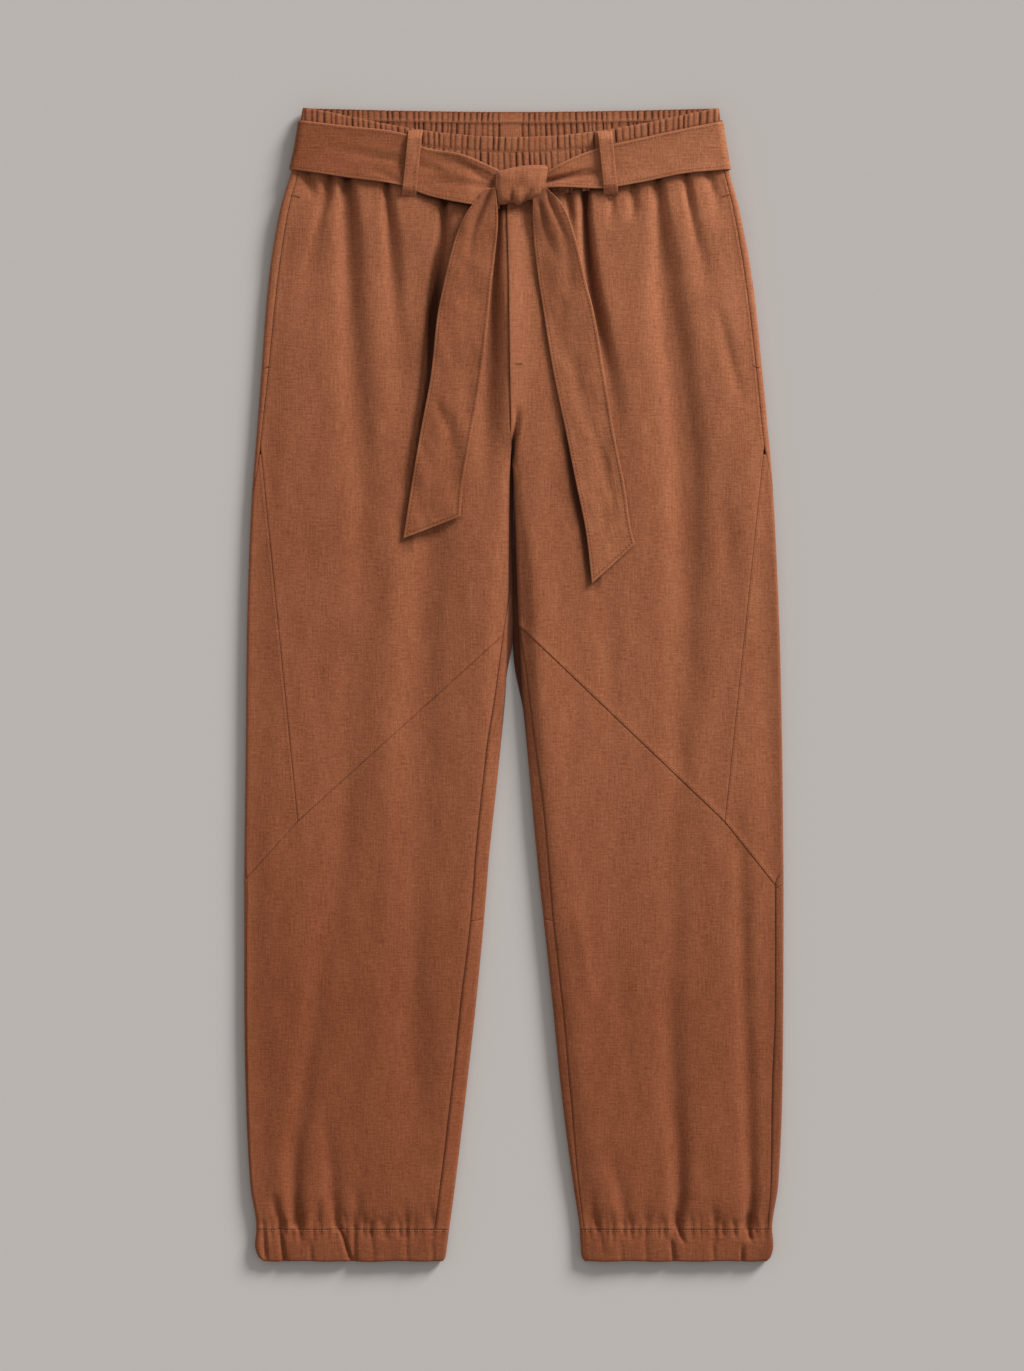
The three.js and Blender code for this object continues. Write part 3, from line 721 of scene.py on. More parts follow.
@dataclass
class LegPieces:
    """The panels and the cuff of one leg."""

    leg: Leg
    fine: float = 2.1
    coarse: float = 5.0
    cuff_rows: int = 26
    stitch_gap: float = 2.1
    hidden: Seam = Seam(sink=0.0, dark=0.0)
    overlap: Seam = Seam(lift=0.7, reach=8.0, sink=0.3, lip=0.5, dark=0.05)
    underlap: Seam = Seam(lift=0.1, reach=3.0, sink=1.0, lip=0.9, dark=0.6)
    plain: Seam = Seam(lift=0.15, reach=3.0, sink=0.55, lip=0.6, dark=0.25)
    groove: Seam = Seam(lift=0.35, reach=3.0, sink=0.6, lip=0.7, dark=0.5)
    faint: Seam = Seam(lift=0.3, reach=3.0, sink=0.3, lip=0.7, dark=0.08)
    above_knee: Seam = Seam(lift=0.55, reach=4.0, sink=0.3, lip=0.5, slant=0.73, dark=0.2)
    below_knee: Seam = Seam(lift=0.1, reach=3.0, sink=0.55, lip=0.8, slant=0.73, dark=0.25)
    gathered: Seam = Seam(lift=0.4, reach=4.0, sink=0.25, lip=1.0, dark=0.0)
    cuff_seam: Seam = Seam(sink=0.25, lip=1.0, dark=0.0)
    cuff_hem: Seam = Seam(sink=0.7, lip=0.9)

    def fronts(self) -> list[Panel]:
        """The upper front, the long narrow panel at the side of the thigh, and the lower front."""
        leg, knee = self.leg, self.leg.knee_across
        beside_fly, outer_seam = (self.overlap, self.faint) if leg.sign > 0 else (self.underlap, self.groove)
        return [
            Panel(
                leg, Cloth(f"front_upper_{leg.name}", (0.26, 0.57), 0.098, "gathered"),
                leg.front_inner, leg.front_outer,
                lambda across: front_waist(across) + BAND_LAP,
                lambda across: leg.diagonal(np.minimum(across, knee)),
                lambda y: [leg.turns(y)[1]], [even(3), graded(214, self.fine)], graded(480, 2.6), (430, -40),
                (beside_fly, outer_seam, self.hidden, self.above_knee),
            ),
            Panel(
                leg, Cloth(f"side_panel_{leg.name}", (0.06, 0.38), 0.0115),
                leg.panel_seam, leg.side_seam.at,
                level_edge(200.0), lambda across: leg.diagonal(np.maximum(across, knee)),
                lambda y: [leg.turns(y)[0]], [graded(30, self.fine, True, False), even(6)],
                graded(330, 3.0), (200, -140), (self.groove, self.plain, self.plain, self.above_knee),
            ),
            Panel(
                leg, Cloth(f"front_lower_{leg.name}", (0.22, 0.5), 0.0765, "gathered"),
                leg.front_inner, leg.side_seam.at, leg.diagonal, level_edge(CUFF_TOP),
                lambda y: [leg.turns(y)[1], leg.turns(y)[0]], [even(2), graded(190, self.fine), even(5)],
                graded(400, 2.4), (-60, CUFF_TOP), (self.groove, self.plain, self.below_knee, self.gathered),
            ),
        ]

    def backs(self) -> list[Panel]:
        """The back from the waist to the seam behind the knee, and from there to the cuff."""
        leg = self.leg
        turns = lambda y: self.ring(y)[1:]
        middle = lambda width: graded(width, self.coarse, False, False)
        columns = lambda width: [even(2), even(12), middle(width), even(12), even(3)]
        return [
            Panel(
                leg, Cloth(f"back_upper_{leg.name}", (0.3, 0.68), 0.149, "gathered"),
                leg.side_seam.at, leg.back_inner, lambda across: back_waist(across) + BAND_LAP, leg.back_knee,
                turns, columns(215), graded(650, self.coarse), (445, -190),
                (self.plain, self.plain, self.hidden, self.plain),
            ),
            Panel(
                leg, Cloth(f"back_lower_{leg.name}", (0.25, 0.3), 0.058, "gathered"),
                leg.side_seam.at, leg.back_inner, leg.back_knee, level_edge(CUFF_TOP),
                turns, columns(190), graded(250, self.coarse), (-190, CUFF_TOP),
                (self.plain, self.plain, self.plain, self.gathered),
            ),
        ]

    def ring(self, y: Grid) -> list[Grid]:
        """Where a section's front starts and ends, and its back, and where its inner turn ends."""
        outer_turn, inner_turn, _ = self.leg.turns(y)
        back = self.leg.back_turn(y)
        return [inner_turn, outer_turn, outer_turn + HALF_TURN, back, back + HALF_TURN]

    def cuff(self) -> Piece:
        """The elastic cuff, a closed ring with its own small gathers."""
        leg = self.leg
        y = mix(CUFF_TOP - 0.2, CUFF_FOOT, even(self.cuff_rows))[:, None]
        breaks = self.ring(y)
        stops = [even(130), even(10), even(130), even(10)]
        around = np.concatenate([mix(breaks[k], breaks[k + 1], s[:-1]) for k, s in enumerate(stops)], 1)
        y = np.repeat(y, around.shape[1], 1)
        x, _, facing = leg.place(y, around, 0.0)
        depth = (CUFF_TOP - y) / (CUFF_TOP - CUFF_FOOT)
        height = y + 0.5 * np.sin(x / 9.0) * np.sin(x / 23.0) * smooth(depth)
        rise = self.cuff_seam.rise(CUFF_TOP - y) + self.cuff_hem.rise(y - CUFF_FOOT)
        rise = rise + 0.35 * np.sin(np.pi * np.clip(depth, 0, 1)) * (facing > 0)
        inseam = bell(around - leg.front_inner(y), 0.8)
        rise = np.where(facing > 0.3, rise, np.minimum(rise, 0.0)) - 0.4 * inseam
        # painted shade in the inseam's groove, and a little painted shade over the whole cuff
        shade = self.cuff_seam.shade(CUFF_TOP - y) - 0.08 - 0.25 * inseam + leg.shade(x, y) * smooth(facing)
        outer, inner = leg.skin(height, around, rise), leg.skin(height, around, rise - BAND_WALL)
        return shell(f"cuff_{leg.name}", outer, inner, (around, y), shade, closed=True)

    def seam_stitches(self) -> list[Grid]:
        """Stitch lines beside the side panel, the pocket and the diagonal seam."""
        leg, gap = self.leg, self.stitch_gap
        down = np.linspace(200.0, KNEE_HEIGHT + 3.0, 170)
        pocket = np.linspace(438.0, 214.0, 120)
        inner_end = leg.front_inner(np.array(-60.0)) + 26.0
        across = np.linspace(inner_end, leg.outer.at(np.array(-150.0)) - EDGE, 170)
        square = gap / self.above_knee.slant
        lines = (
            (down, leg.panel_seam(down) + gap, self.groove.rise(gap)),
            (pocket, leg.side_seam.at(pocket) - gap, self.groove.rise(gap)),
            (leg.diagonal(across) + square, across, self.above_knee.rise(square)),
        )
        return [leg.skin(y, around, rise + 0.08) for y, around, rise in lines]

    def cuff_stitches(self) -> list[Grid]:
        """The stitch line along the cuff's seam."""
        low = np.array(CUFF_TOP - 0.9)
        around = np.linspace(*(float(turn) for turn in self.leg.turns(low)[1::-1]), 120)
        return [self.leg.skin(low + 0 * around, around, 0.3 + 0 * around)]

    def bartacks(self) -> list[Grid]:
        """The short dense rows of stitches that hold the pocket's ends, and the fly's on the right."""
        leg = self.leg
        across = np.linspace(-0.5, 6.0, 8) if leg.sign < 0 else np.linspace(-1.0, 5.0, 8)
        made = []
        for height, reach in ((425.0, -1.0), (277.0, 0.8)):
            around = leg.side_seam.at(np.array(height)) - 1.0 + reach * across
            made.append(leg.skin(height - 0.3 * across, around, 0.25 + 0 * across))
        if leg.sign > 0:
            made.append(leg.skin(np.full(8, 278.5), np.linspace(0.5, 7.0, 8), 0.45 + 0 * across))
        return made


class Tree:
    """Nodes that make up a shape or a material."""

    def __init__(self, tree: bpy.types.NodeTree) -> None:
        """Keeps the tree to which nodes are added."""
        self.tree = tree

    def node(self, kind: str, inputs: Inputs | None = None, **settings: object) -> bpy.types.Node:
        """Adds a node.

        Args:
            kind: its type.
            inputs: values or links of its sockets.
            settings: its properties, set first.

        Returns:
            The node.
        """
        node = self.tree.nodes.new(kind)
        for label, value in settings.items():
            setattr(node, label, value)
        for label, value in (inputs or {}).items():
            self.feed(node.inputs[label], value)
        return node

    def made(self, kind: str, inputs: Inputs | None = None, **settings: object) -> Socket:
        """Adds a node and returns its first output."""
        return self.node(kind, inputs, **settings).outputs[0]

    def feed(self, socket: Socket, value: object) -> None:
        """Links a value to a socket, or sets it there.

        Args:
            socket: the socket.
            value: a number, a colour, a link or a Number.
        """
        source = value.socket if isinstance(value, Number) else value
        if isinstance(source, Socket):
            self.tree.links.new(source, socket)
        else:
            socket.default_value = source

    def axes(self, place: Socket) -> tuple["Number", "Number"]:
        """A place's first two parts."""
        parts = self.node("ShaderNodeSeparateXYZ", {0: place}).outputs
        return Number(self, parts[0]), Number(self, parts[1])


def arithmetic(operation: str, turned: bool = False) -> Callable[["Number", object], "Number"]:
    """Python arithmetic that adds a Math node.

    Args:
        operation: the node's.
        turned: whether the second value comes first.

    Returns:
        The method that does it.
    """
    if turned:
        return lambda self, other: self.joined(operation, other, self)
    return lambda self, other: self.joined(operation, self, other)


class Number:
    """A value among a tree's nodes that takes part in Python arithmetic."""

    def __init__(self, tree: Tree, socket: Socket) -> None:
        """Keeps the socket that gives the value."""
        self.tree = tree
        self.socket = socket

    def joined(self, operation: str, *values: object) -> "Number":
        """The result of a Math node on some values."""
        made = self.tree.made("ShaderNodeMath", dict(enumerate(values)), operation=operation)
        return Number(self.tree, made)

    __add__, __radd__ = arithmetic("ADD"), arithmetic("ADD", turned=True)
    __mul__, __rmul__ = arithmetic("MULTIPLY"), arithmetic("MULTIPLY", turned=True)
    __sub__ = arithmetic("SUBTRACT")
    __pow__ = arithmetic("POWER")

    def __abs__(self) -> "Number":
        """The value without its sign."""
        return self.joined("ABSOLUTE", self)

    def wave(self) -> "Number":
        """The sine of the value."""
        return self.joined("SINE", self)

    def held(self, low: float = 0.0, high: float = 1.0) -> "Number":
        """The value kept between two limits."""
        return self.joined("MINIMUM", self.joined("MAXIMUM", self, low), high)


class Geometry(Tree):
    """Builds a Geometry Nodes tree and turns what it makes into a plain mesh."""

    def __init__(self, name: str, sizes: dict[str, float]) -> None:
        """Starts a tree with one geometry input and named sizes.

        Args:
            name: the tree's name.
            sizes: each size's name and value.
        """
        super().__init__(bpy.data.node_groups.new(name, "GeometryNodeTree"))
        sockets = self.tree.interface
        sockets.new_socket("Geometry", in_out="INPUT", socket_type="NodeSocketGeometry")
        self.sizes = {}
        for label, value in sizes.items():
            socket = sockets.new_socket(label, in_out="INPUT", socket_type="NodeSocketFloat")
            self.sizes[socket.identifier] = value
        sockets.new_socket("Geometry", in_out="OUTPUT", socket_type="NodeSocketGeometry")
        self.given = self.node("NodeGroupInput").outputs
        self.end = self.node("NodeGroupOutput")

    def attribute(self, name: str, kind: str = "FLOAT") -> Number:
        """Reads a named attribute of the mesh."""
        node = self.node("GeometryNodeInputNamedAttribute", {"Name": name}, data_type=kind)
        return Number(self, node.outputs["Attribute"])

    def apply(self, piece: Piece, geometry: Socket, material: Material) -> Piece:
        """Ends the tree, runs it on a piece and keeps the result as its plain mesh.

        Args:
            piece: the object to run it on.
            geometry: what the tree makes.
            material: the finish that it carries.

        Returns:
            The same object.
        """
        real = self.made("GeometryNodeRealizeInstances", {"Geometry": geometry})
        dressed = self.made("GeometryNodeSetMaterial", {"Geometry": real, "Material": material})
        self.feed(self.end.inputs[0], dressed)
        modifier = piece.modifiers.new("shape", "NODES")
        modifier.node_group = self.tree
        for identifier, value in self.sizes.items():
            modifier[identifier] = value
        evaluated = piece.evaluated_get(bpy.context.evaluated_depsgraph_get())
        mesh = bpy.data.meshes.new_from_object(evaluated)
        piece.modifiers.remove(modifier)
        piece.data = mesh
        mesh.name = piece.name
        return piece


@dataclass(frozen=True)
class Gathers:
    """Cloth drawn up on elastic into uneven little pleats."""

    depth: float = 1.8
    roundness: float = 0.4

    def apply(self, piece: Piece, material: Material) -> Piece:
        """Draws a band's cloth in between its pleats.

        Args:
            piece: a band whose points hold where in a pleat they lie, how strongly it is gathered there, and
                which way is out.
            material: its finish.

        Returns:
            The same piece.
        """
        g = Geometry("gathers", {"Depth": self.depth / METRE, "Roundness": self.roundness})
        rib = abs((g.attribute("pleat") * np.pi).wave()) ** g.given["Roundness"]
        length = (rib - 1.0) * g.attribute("gather") * g.given["Depth"]
        way = g.attribute("outward", "FLOAT_VECTOR")
        offset = g.made("ShaderNodeVectorMath", {0: way, "Scale": length}, operation="SCALE")
        moved = g.made("GeometryNodeSetPosition", {"Geometry": g.given["Geometry"], "Offset": offset})
        return g.apply(piece, moved, material)


@dataclass(frozen=True)
class Stitching:
    """A row of thread stitches along lines on the cloth."""

    pitch: float = 2.9
    length: float = 2.1
    width: float = 0.55
    height: float = 0.34

    def sew(self, name: str, lines: Sequence[Grid], material: Material) -> Piece:
        """Makes the stitches of several lines as one piece.

        Args:
            name: the piece's name.
            lines: each line's points, in millimetres.
            material: the thread's finish.

        Returns:
            The stitches.
        """
        points = np.concatenate(lines) / METRE
        starts = np.cumsum([0] + [len(line) for line in lines])
        edges = [(k, k + 1) for a, b in zip(starts[:-1], starts[1:]) for k in range(a, b - 1)]
        mesh = bpy.data.meshes.new(name)
        mesh.from_pydata(points.tolist(), edges, [])
        piece = put(name, mesh)
        sizes = {"Pitch": self.pitch, "Length": self.length, "Width": self.width, "Height": self.height}
        g = Geometry("stitches", {label: value / METRE for label, value in sizes.items()})
        curve = g.made("GeometryNodeMeshToCurve", {"Mesh": g.given["Geometry"]})
        pitch = {"Curve": curve, "Length": g.given["Pitch"]}
        spaced = g.made("GeometryNodeResampleCurve", pitch, mode="LENGTH")
        ball = g.made("GeometryNodeMeshUVSphere", {"Segments": 5, "Rings": 3, "Radius": 0.5})
        laid = g.made("GeometryNodeTransform", {"Geometry": ball, "Rotation": (0.0, np.pi / 2, 0.0)})
        shape = {axis: g.given[label] for axis, label in enumerate(("Length", "Width", "Height"))}
        scale = g.made("ShaderNodeCombineXYZ", shape)
        thread = g.made("GeometryNodeTransform", {"Geometry": laid, "Scale": scale})
        rounded = g.made("GeometryNodeSetShadeSmooth", {"Geometry": thread})
        tangent = g.made("GeometryNodeInputTangent")
        way = g.made("FunctionNodeAlignRotationToVector", {"Vector": tangent}, axis="X")
        placed = {"Points": spaced, "Instance": rounded, "Rotation": way}
        return g.apply(piece, g.made("GeometryNodeInstanceOnPoints", placed), material)


@dataclass
class Waistband:
    """The elastic waistband: a front and a back band, each drawn up into pleats."""

    legs: tuple[Leg, Leg]
    step: float = 0.55
    half: float = 186.0  # along the band from its middle to its end
    fine_top: float = 27.0  # this much of the band has finer rows
    pleat: tuple[float, float] = (3.6, 6.6)
    count: int = 120  # pleats drawn, more than the band has room for
    stitch_depths: tuple[float, float] = (8.8, 12.4)  # below the top edge, on the back and on the front
    plain_patch: tuple[float, float] = (-10.5, 5.5)  # ungathered stretch at the centre of the back

    def pleats(self, seed: int, along: Grid, below_stitch: Grid, patch: bool) -> tuple[Grid, Grid]:
        """Lays pleats along a band.

        Args:
            seed: for their uneven widths.
            along: place along the band from its centre.
            below_stitch: where the stitch line lies above.
            patch: whether the centre is left plain.

        Returns:
            Where in its pleat each point lies, counted in pleats, and how strongly it is gathered.
        """
        random = np.random.default_rng(seed)
        widths = random.uniform(*self.pleat, self.count)
        upper = np.cumsum(widths) - widths.sum() / 2
        lower = upper + random.uniform(-1.3, 1.3, self.count)
        above, below = random.uniform(0.35, 1.0, self.count), random.uniform(0.35, 1.0, self.count)
        number = np.arange(float(self.count))
        phase = np.where(below_stitch, np.interp(along, lower, number), np.interp(along, upper, number))
        near = np.rint(phase).astype(int)
        gather = np.where(below_stitch, below[near], above[near])
        if patch:
            start, end = self.plain_patch
            gather = gather * (1 - fade(along, start, start + 1.5) * fade(along, end, end - 1.5))
        return phase, gather

    def band(self, name: str, front: bool, material: Material) -> Piece:
        """Makes one band.

        Args:
            name: its name.
            front: whether it is the front one.
            material: its finish.

        Returns:
            The gathered band.
        """
        top = self.fine_top
        rows = np.concatenate([graded(top, 1.3, True, False) * top, top + (BAND_HEIGHT - top) * even(7)[1:]])
        down = rows[:, None] / BAND_HEIGHT
        share = np.linspace(-1, 1, 2 * round(self.half / self.step) + 1)[None, :] + 0 * down
        y = np.full_like(share, 470.0)
        for _ in range(ROUNDS):
            x = self.points(y, share, front, 0.0)[0][..., 0]
            y = (front_waist if front else back_waist)(x) + BAND_HEIGHT * (1 - down)
        below = BAND_HEIGHT * down + 0 * x
        stitch = self.stitch_depths[front]
        arc = np.sign(share) * np.abs(x)
        slant = 0.5 * np.sin(below / 9.0 + x / 31.0)
        phase, gather = self.pleats(5 if front else 8, arc + slant, below > stitch, not front)
        pinch = bell(below - stitch, 1.3)
        gather = gather * (1 - 0.75 * pinch) * (0.75 + 0.25 * fade(below, 0, 3))
        rib = np.abs(np.sin(np.pi * phase)) ** Gathers.roundness
        height = y + (0.6 + 0.9 * (rib - 1.0) * gather) * decay(below, 2.5)
        rise = Seam(sink=0.5, lip=0.7).rise(below) - 0.65 * pinch
        rise = rise + 0.35 * np.sin(arc / 17.0) * np.sin(arc / 41.0 + below / 30.0)
        # painted shade in the creases between the pleats and along the pinched stitch line
        shade = -2.4 * (1 - rib) * gather - 0.4 * pinch
        layers = [self.points(height, share, front, rise + out)[0] for out in (0.0, -BAND_WALL)]
        piece = shell(name, *layers, (arc * 1.4, y), shade)
        facing = self.points(y, share, front, 0.0)[1]
        sideways = np.sqrt(np.maximum(0.0, 1 - facing**2)) * np.sign(share)
        outward = np.stack([sideways, 0 * facing, facing], -1)
        marks = (("pleat", phase), ("gather", gather if front else -gather), ("outward", outward))
        for label, values in marks:
            kind, slot = ("FLOAT_VECTOR", "vector") if values.ndim == 3 else ("FLOAT", "value")
            doubled = np.concatenate([values.ravel()] * 2).astype(np.float32)
            piece.data.attributes.new(label, kind, "POINT").data.foreach_set(slot, doubled)
        return Gathers().apply(piece, material)

    def points(self, y: Grid, share: Grid, front: bool, out: Grid) -> tuple[Grid, Grid]:
        """Finds points of a band.

        Args:
            y: their heights.
            share: how far they lie from the centre, -1 at the left side edge and 1 at the right one.
            front: whether the band is the front one.
            out: how far off the skin they are.

        Returns:
            The points, and how squarely the band faces up there.
        """
        found = []
        for leg in self.legs:
            outer_turn = leg.turns(y)[0]
            reach = np.abs(share) * (outer_turn + HALF_TURN / 2)
            found.append(leg.place(y, reach if front else 2 * outer_turn + HALF_TURN - reach, out))
        x, z, facing = (np.where(share < 0, *pair) for pair in zip(*found))
        return points_at(x, y, z), facing

    def stitch_lines(self) -> list[Grid]:
        """Two rows of stitches, on the front band and on the back band's inside."""
        x = np.linspace(-176, 176, 260)
        lines = []
        for front, line, lift in ((1, front_waist, -0.55), (0, back_waist, BAND_WALL + 0.7 - 2 * HALF_THICK)):
            y = line(x) + BAND_HEIGHT - self.stitch_depths[front]
            lines.append(points_at(x, y, by_side(x, self.legs, lambda leg: leg.level(x, y)) + lift))
        return lines


@dataclass(frozen=True)
class Hem:
    """The pale rim of the sash's cloth, partly wear and partly painted highlight, and the row of stitches
    inside it.
    """

    edge: Seam = Seam(lift=0.25, reach=3.5, sink=0.5, lip=0.7)
    inset: float = 2.6

    def shade(self, away: Grid, dull: Grid = 0.0) -> Grid:
        """How pale the rim is, as wear and painted highlight, and how dark the painted shade of the stitch
        line inside it; where the cloth is dull the rim is less pale and the line darker.
        """
        return (1.1 - 0.75 * dull) * decay(away, 0.9) - (0.24 + 0.2 * dull) * bell(away - 2.5, 0.8)


@dataclass
class SashStretch:
    """One front stretch of the sash, from the knot to the side edge."""

    leg: Leg
    rows: tuple[Row, ...]  # distance from the centre line, upper edge, lower edge
    folds: tuple[Fold, ...]
    hem: Hem = Hem()
    middle: float = 465.0  # a height within the stretch

    def edges(self, around: Grid) -> tuple[Grid, Grid]:
        """Heights of the upper and the lower edge at places round the section."""
        across, top, bottom = zip(*self.rows)
        return Curve(across, top).at(around), Curve(across, bottom).at(around)

    def rise(self, x: Grid, y: Grid, down: Grid) -> Grid:
        """How far the sash stands off the skin.

        Args:
            x: places across.
            y: heights.
            down: shares of the way down its width.

        Returns:
            The rise at each point.
        """
        across, sign = np.abs(x), self.leg.sign
        stand = 2.8 * down**2 * fade(self.leg.outer.at(y) - across, 0, 30)
        at_knot = 4.0 * fade(across, 78, 33) - 3.0 * fade(across, 42, 24)
        swells = (Unevenness(41 + sign, 45.0, 16.0, 0.45), Unevenness(51 + sign, 12.0, 9.0, 0.14))
        risen = 0.7 + stand + at_knot + lifted(swells, x, y) + lifted(self.folds, x, y)
        return held_above(risen, 0.55, 0.3)

    def build(self) -> Piece:
        """Makes the stretch."""
        down, share = graded(48, 1.4)[:, None], graded(178, 1.6)[None, :]
        y = np.full((len(down), share.shape[1]), self.middle)
        for _ in range(ROUNDS):
            around = mix(self.rows[0][0], self.leg.turns(y)[0] + HALF_TURN / 2, share)
            y = mix(*self.edges(around), down)
        down = down + 0 * around
        x = self.leg.place(y, around, 0.0)[0]
        width = y.max(0) - y.min(0)
        rise = self.rise(x, y, down) + sum(self.hem.edge.rise(part * width) for part in (down, 1 - down))
        # painted shade in the deeper folds, besides the hem's rim and stitch line
        shade = self.hem.shade(np.minimum(down, 1 - down) * width) - 0.16 * sunk(self.folds, x, y, 0.8)
        layers = []
        for out in (WALL, 0.0):
            across, z, _ = self.leg.place(y, around, rise + out)
            layers.append(points_at(across, y, z))
        return shell(f"belt_front_{self.leg.name}", *layers, (y, around), shade)

    def stitch_lines(self) -> list[Grid]:
        """Stitch lines along both edges."""
        end = float(self.leg.turns(np.array(self.middle))[0]) - 1.0
        around = np.linspace(self.rows[0][0] + 14, end, 150)
        upper, lower = self.edges(around)
        x, width = self.leg.sign * around, upper - lower
        lines = []
        for down in (self.hem.inset / width, 1 - self.hem.inset / width):
            y = mix(upper, lower, down)
            top = self.leg.level(x, y) + self.rise(x, y, down) + WALL
            lines.append(points_at(x, y, top + 0.05)[width > 4 * self.hem.inset])
        return lines


@dataclass
class Tail:
    """One hanging end of the sash, cut off on a slant."""

    side: str
    edges: tuple[tuple[Row, ...], tuple[Row, ...]]  # height and place across, of the left and the right edge
    foot: tuple[float, float]  # height of the cut end at its left and right edges
    lifts: tuple[Curve, Curve]  # how far each edge stands off the front on its way down
    folds: tuple[Fold, ...]
    legs: tuple[Leg, Leg]
    seed: int
    hem: Hem = Hem(Seam(lift=0.3, reach=3.2, sink=0.5, lip=0.7))
    width: float = 42.0
    stitch_lift: float = 0.14

    def rise(self, x: Grid, y: Grid, share: Grid) -> Grid:
        """How far the tail stands off the flat skin.

        Args:
            x: places across.
            y: heights.
            share: places across its width, from 0 to 1.

        Returns:
            The rise at each point.
        """
        lift = mix(*(curve.at(y) for curve in self.lifts), smooth(share))
        swells = (Unevenness(self.seed, 13.0, 30.0, 1.2), Unevenness(self.seed + 1, 6.0, 12.0, 0.4))
        puff = by_side(x, self.legs, lambda leg: leg.puff(x, y))
        risen = puff + lift + lifted(swells, x, y) + 1.5 * lifted(self.folds, x, y)
        return held_above(risen, by_side(x, self.legs, lambda leg: leg.front_rise(x, y)) + 0.4, 0.5)

    def points(self, share: Grid, y: Grid, out: Grid) -> Grid:
        """Points of the tail.

        Args:
            share: places across its width, from 0 to 1.
            y: heights.
            out: how far off its underside they are.

        Returns:
            The points, in millimetres.
        """
        x = mix(*(Curve(*zip(*edge)).at(y) for edge in self.edges), share)
        level = by_side(x, self.legs, lambda leg: leg.level(x, y))
        return points_at(x, y, level + self.rise(x, y, share) + out)

    def build(self) -> Piece:
        """Makes the tail."""
        share, down = graded(self.width, 1.3)[None, :], graded(310, 1.9, False, True)[:, None]
        foot = mix(*self.foot, share)
        y = mix(TAIL_TOP, foot, down)
        share = share + 0 * y
        away = np.minimum(np.minimum(share, 1 - share) * self.width, (y - foot) * 0.9)
        rise = self.hem.edge.rise(away)
        x = self.points(share, y, 0.0)[..., 0]
        # where the rim's painted highlight is left fainter and its stitch line's painted shade darker
        dull = fade(share, 0.4, 0.6) * np.where(x < 0, 1.0, fade(y, 360, 300))
        # painted shadow of the knot on the tail's top
        under_knot = bell(x - 23.0, 7.5) * fade(y, 380, 402)
        # painted shade in the deeper folds
        shade = self.hem.shade(away, dull) - 0.1 * sunk(self.folds, x, y, 0.8) - 0.5 * under_knot
        outer, inner = self.points(share, y, rise + WALL), self.points(share, y, rise)
        return shell(f"belt_tail_{self.side}", outer, inner, (share * self.width + self.seed, y), shade)

    def stitch_lines(self) -> list[Grid]:
        """Stitch lines down both edges and along the cut end."""
        edge, up = self.hem.inset / self.width, self.hem.inset * 1.3
        lines = []
        for share in (edge, 1 - edge):
            y = np.linspace(TAIL_TOP - 16, mix(*self.foot, share) + up, 160)
            lines.append(self.points(share + 0 * y, y, WALL + self.stitch_lift))
        share = np.linspace(edge, 1 - edge, 30)
        return [*lines, self.points(share, mix(*self.foot, share) + up, WALL + self.stitch_lift)]


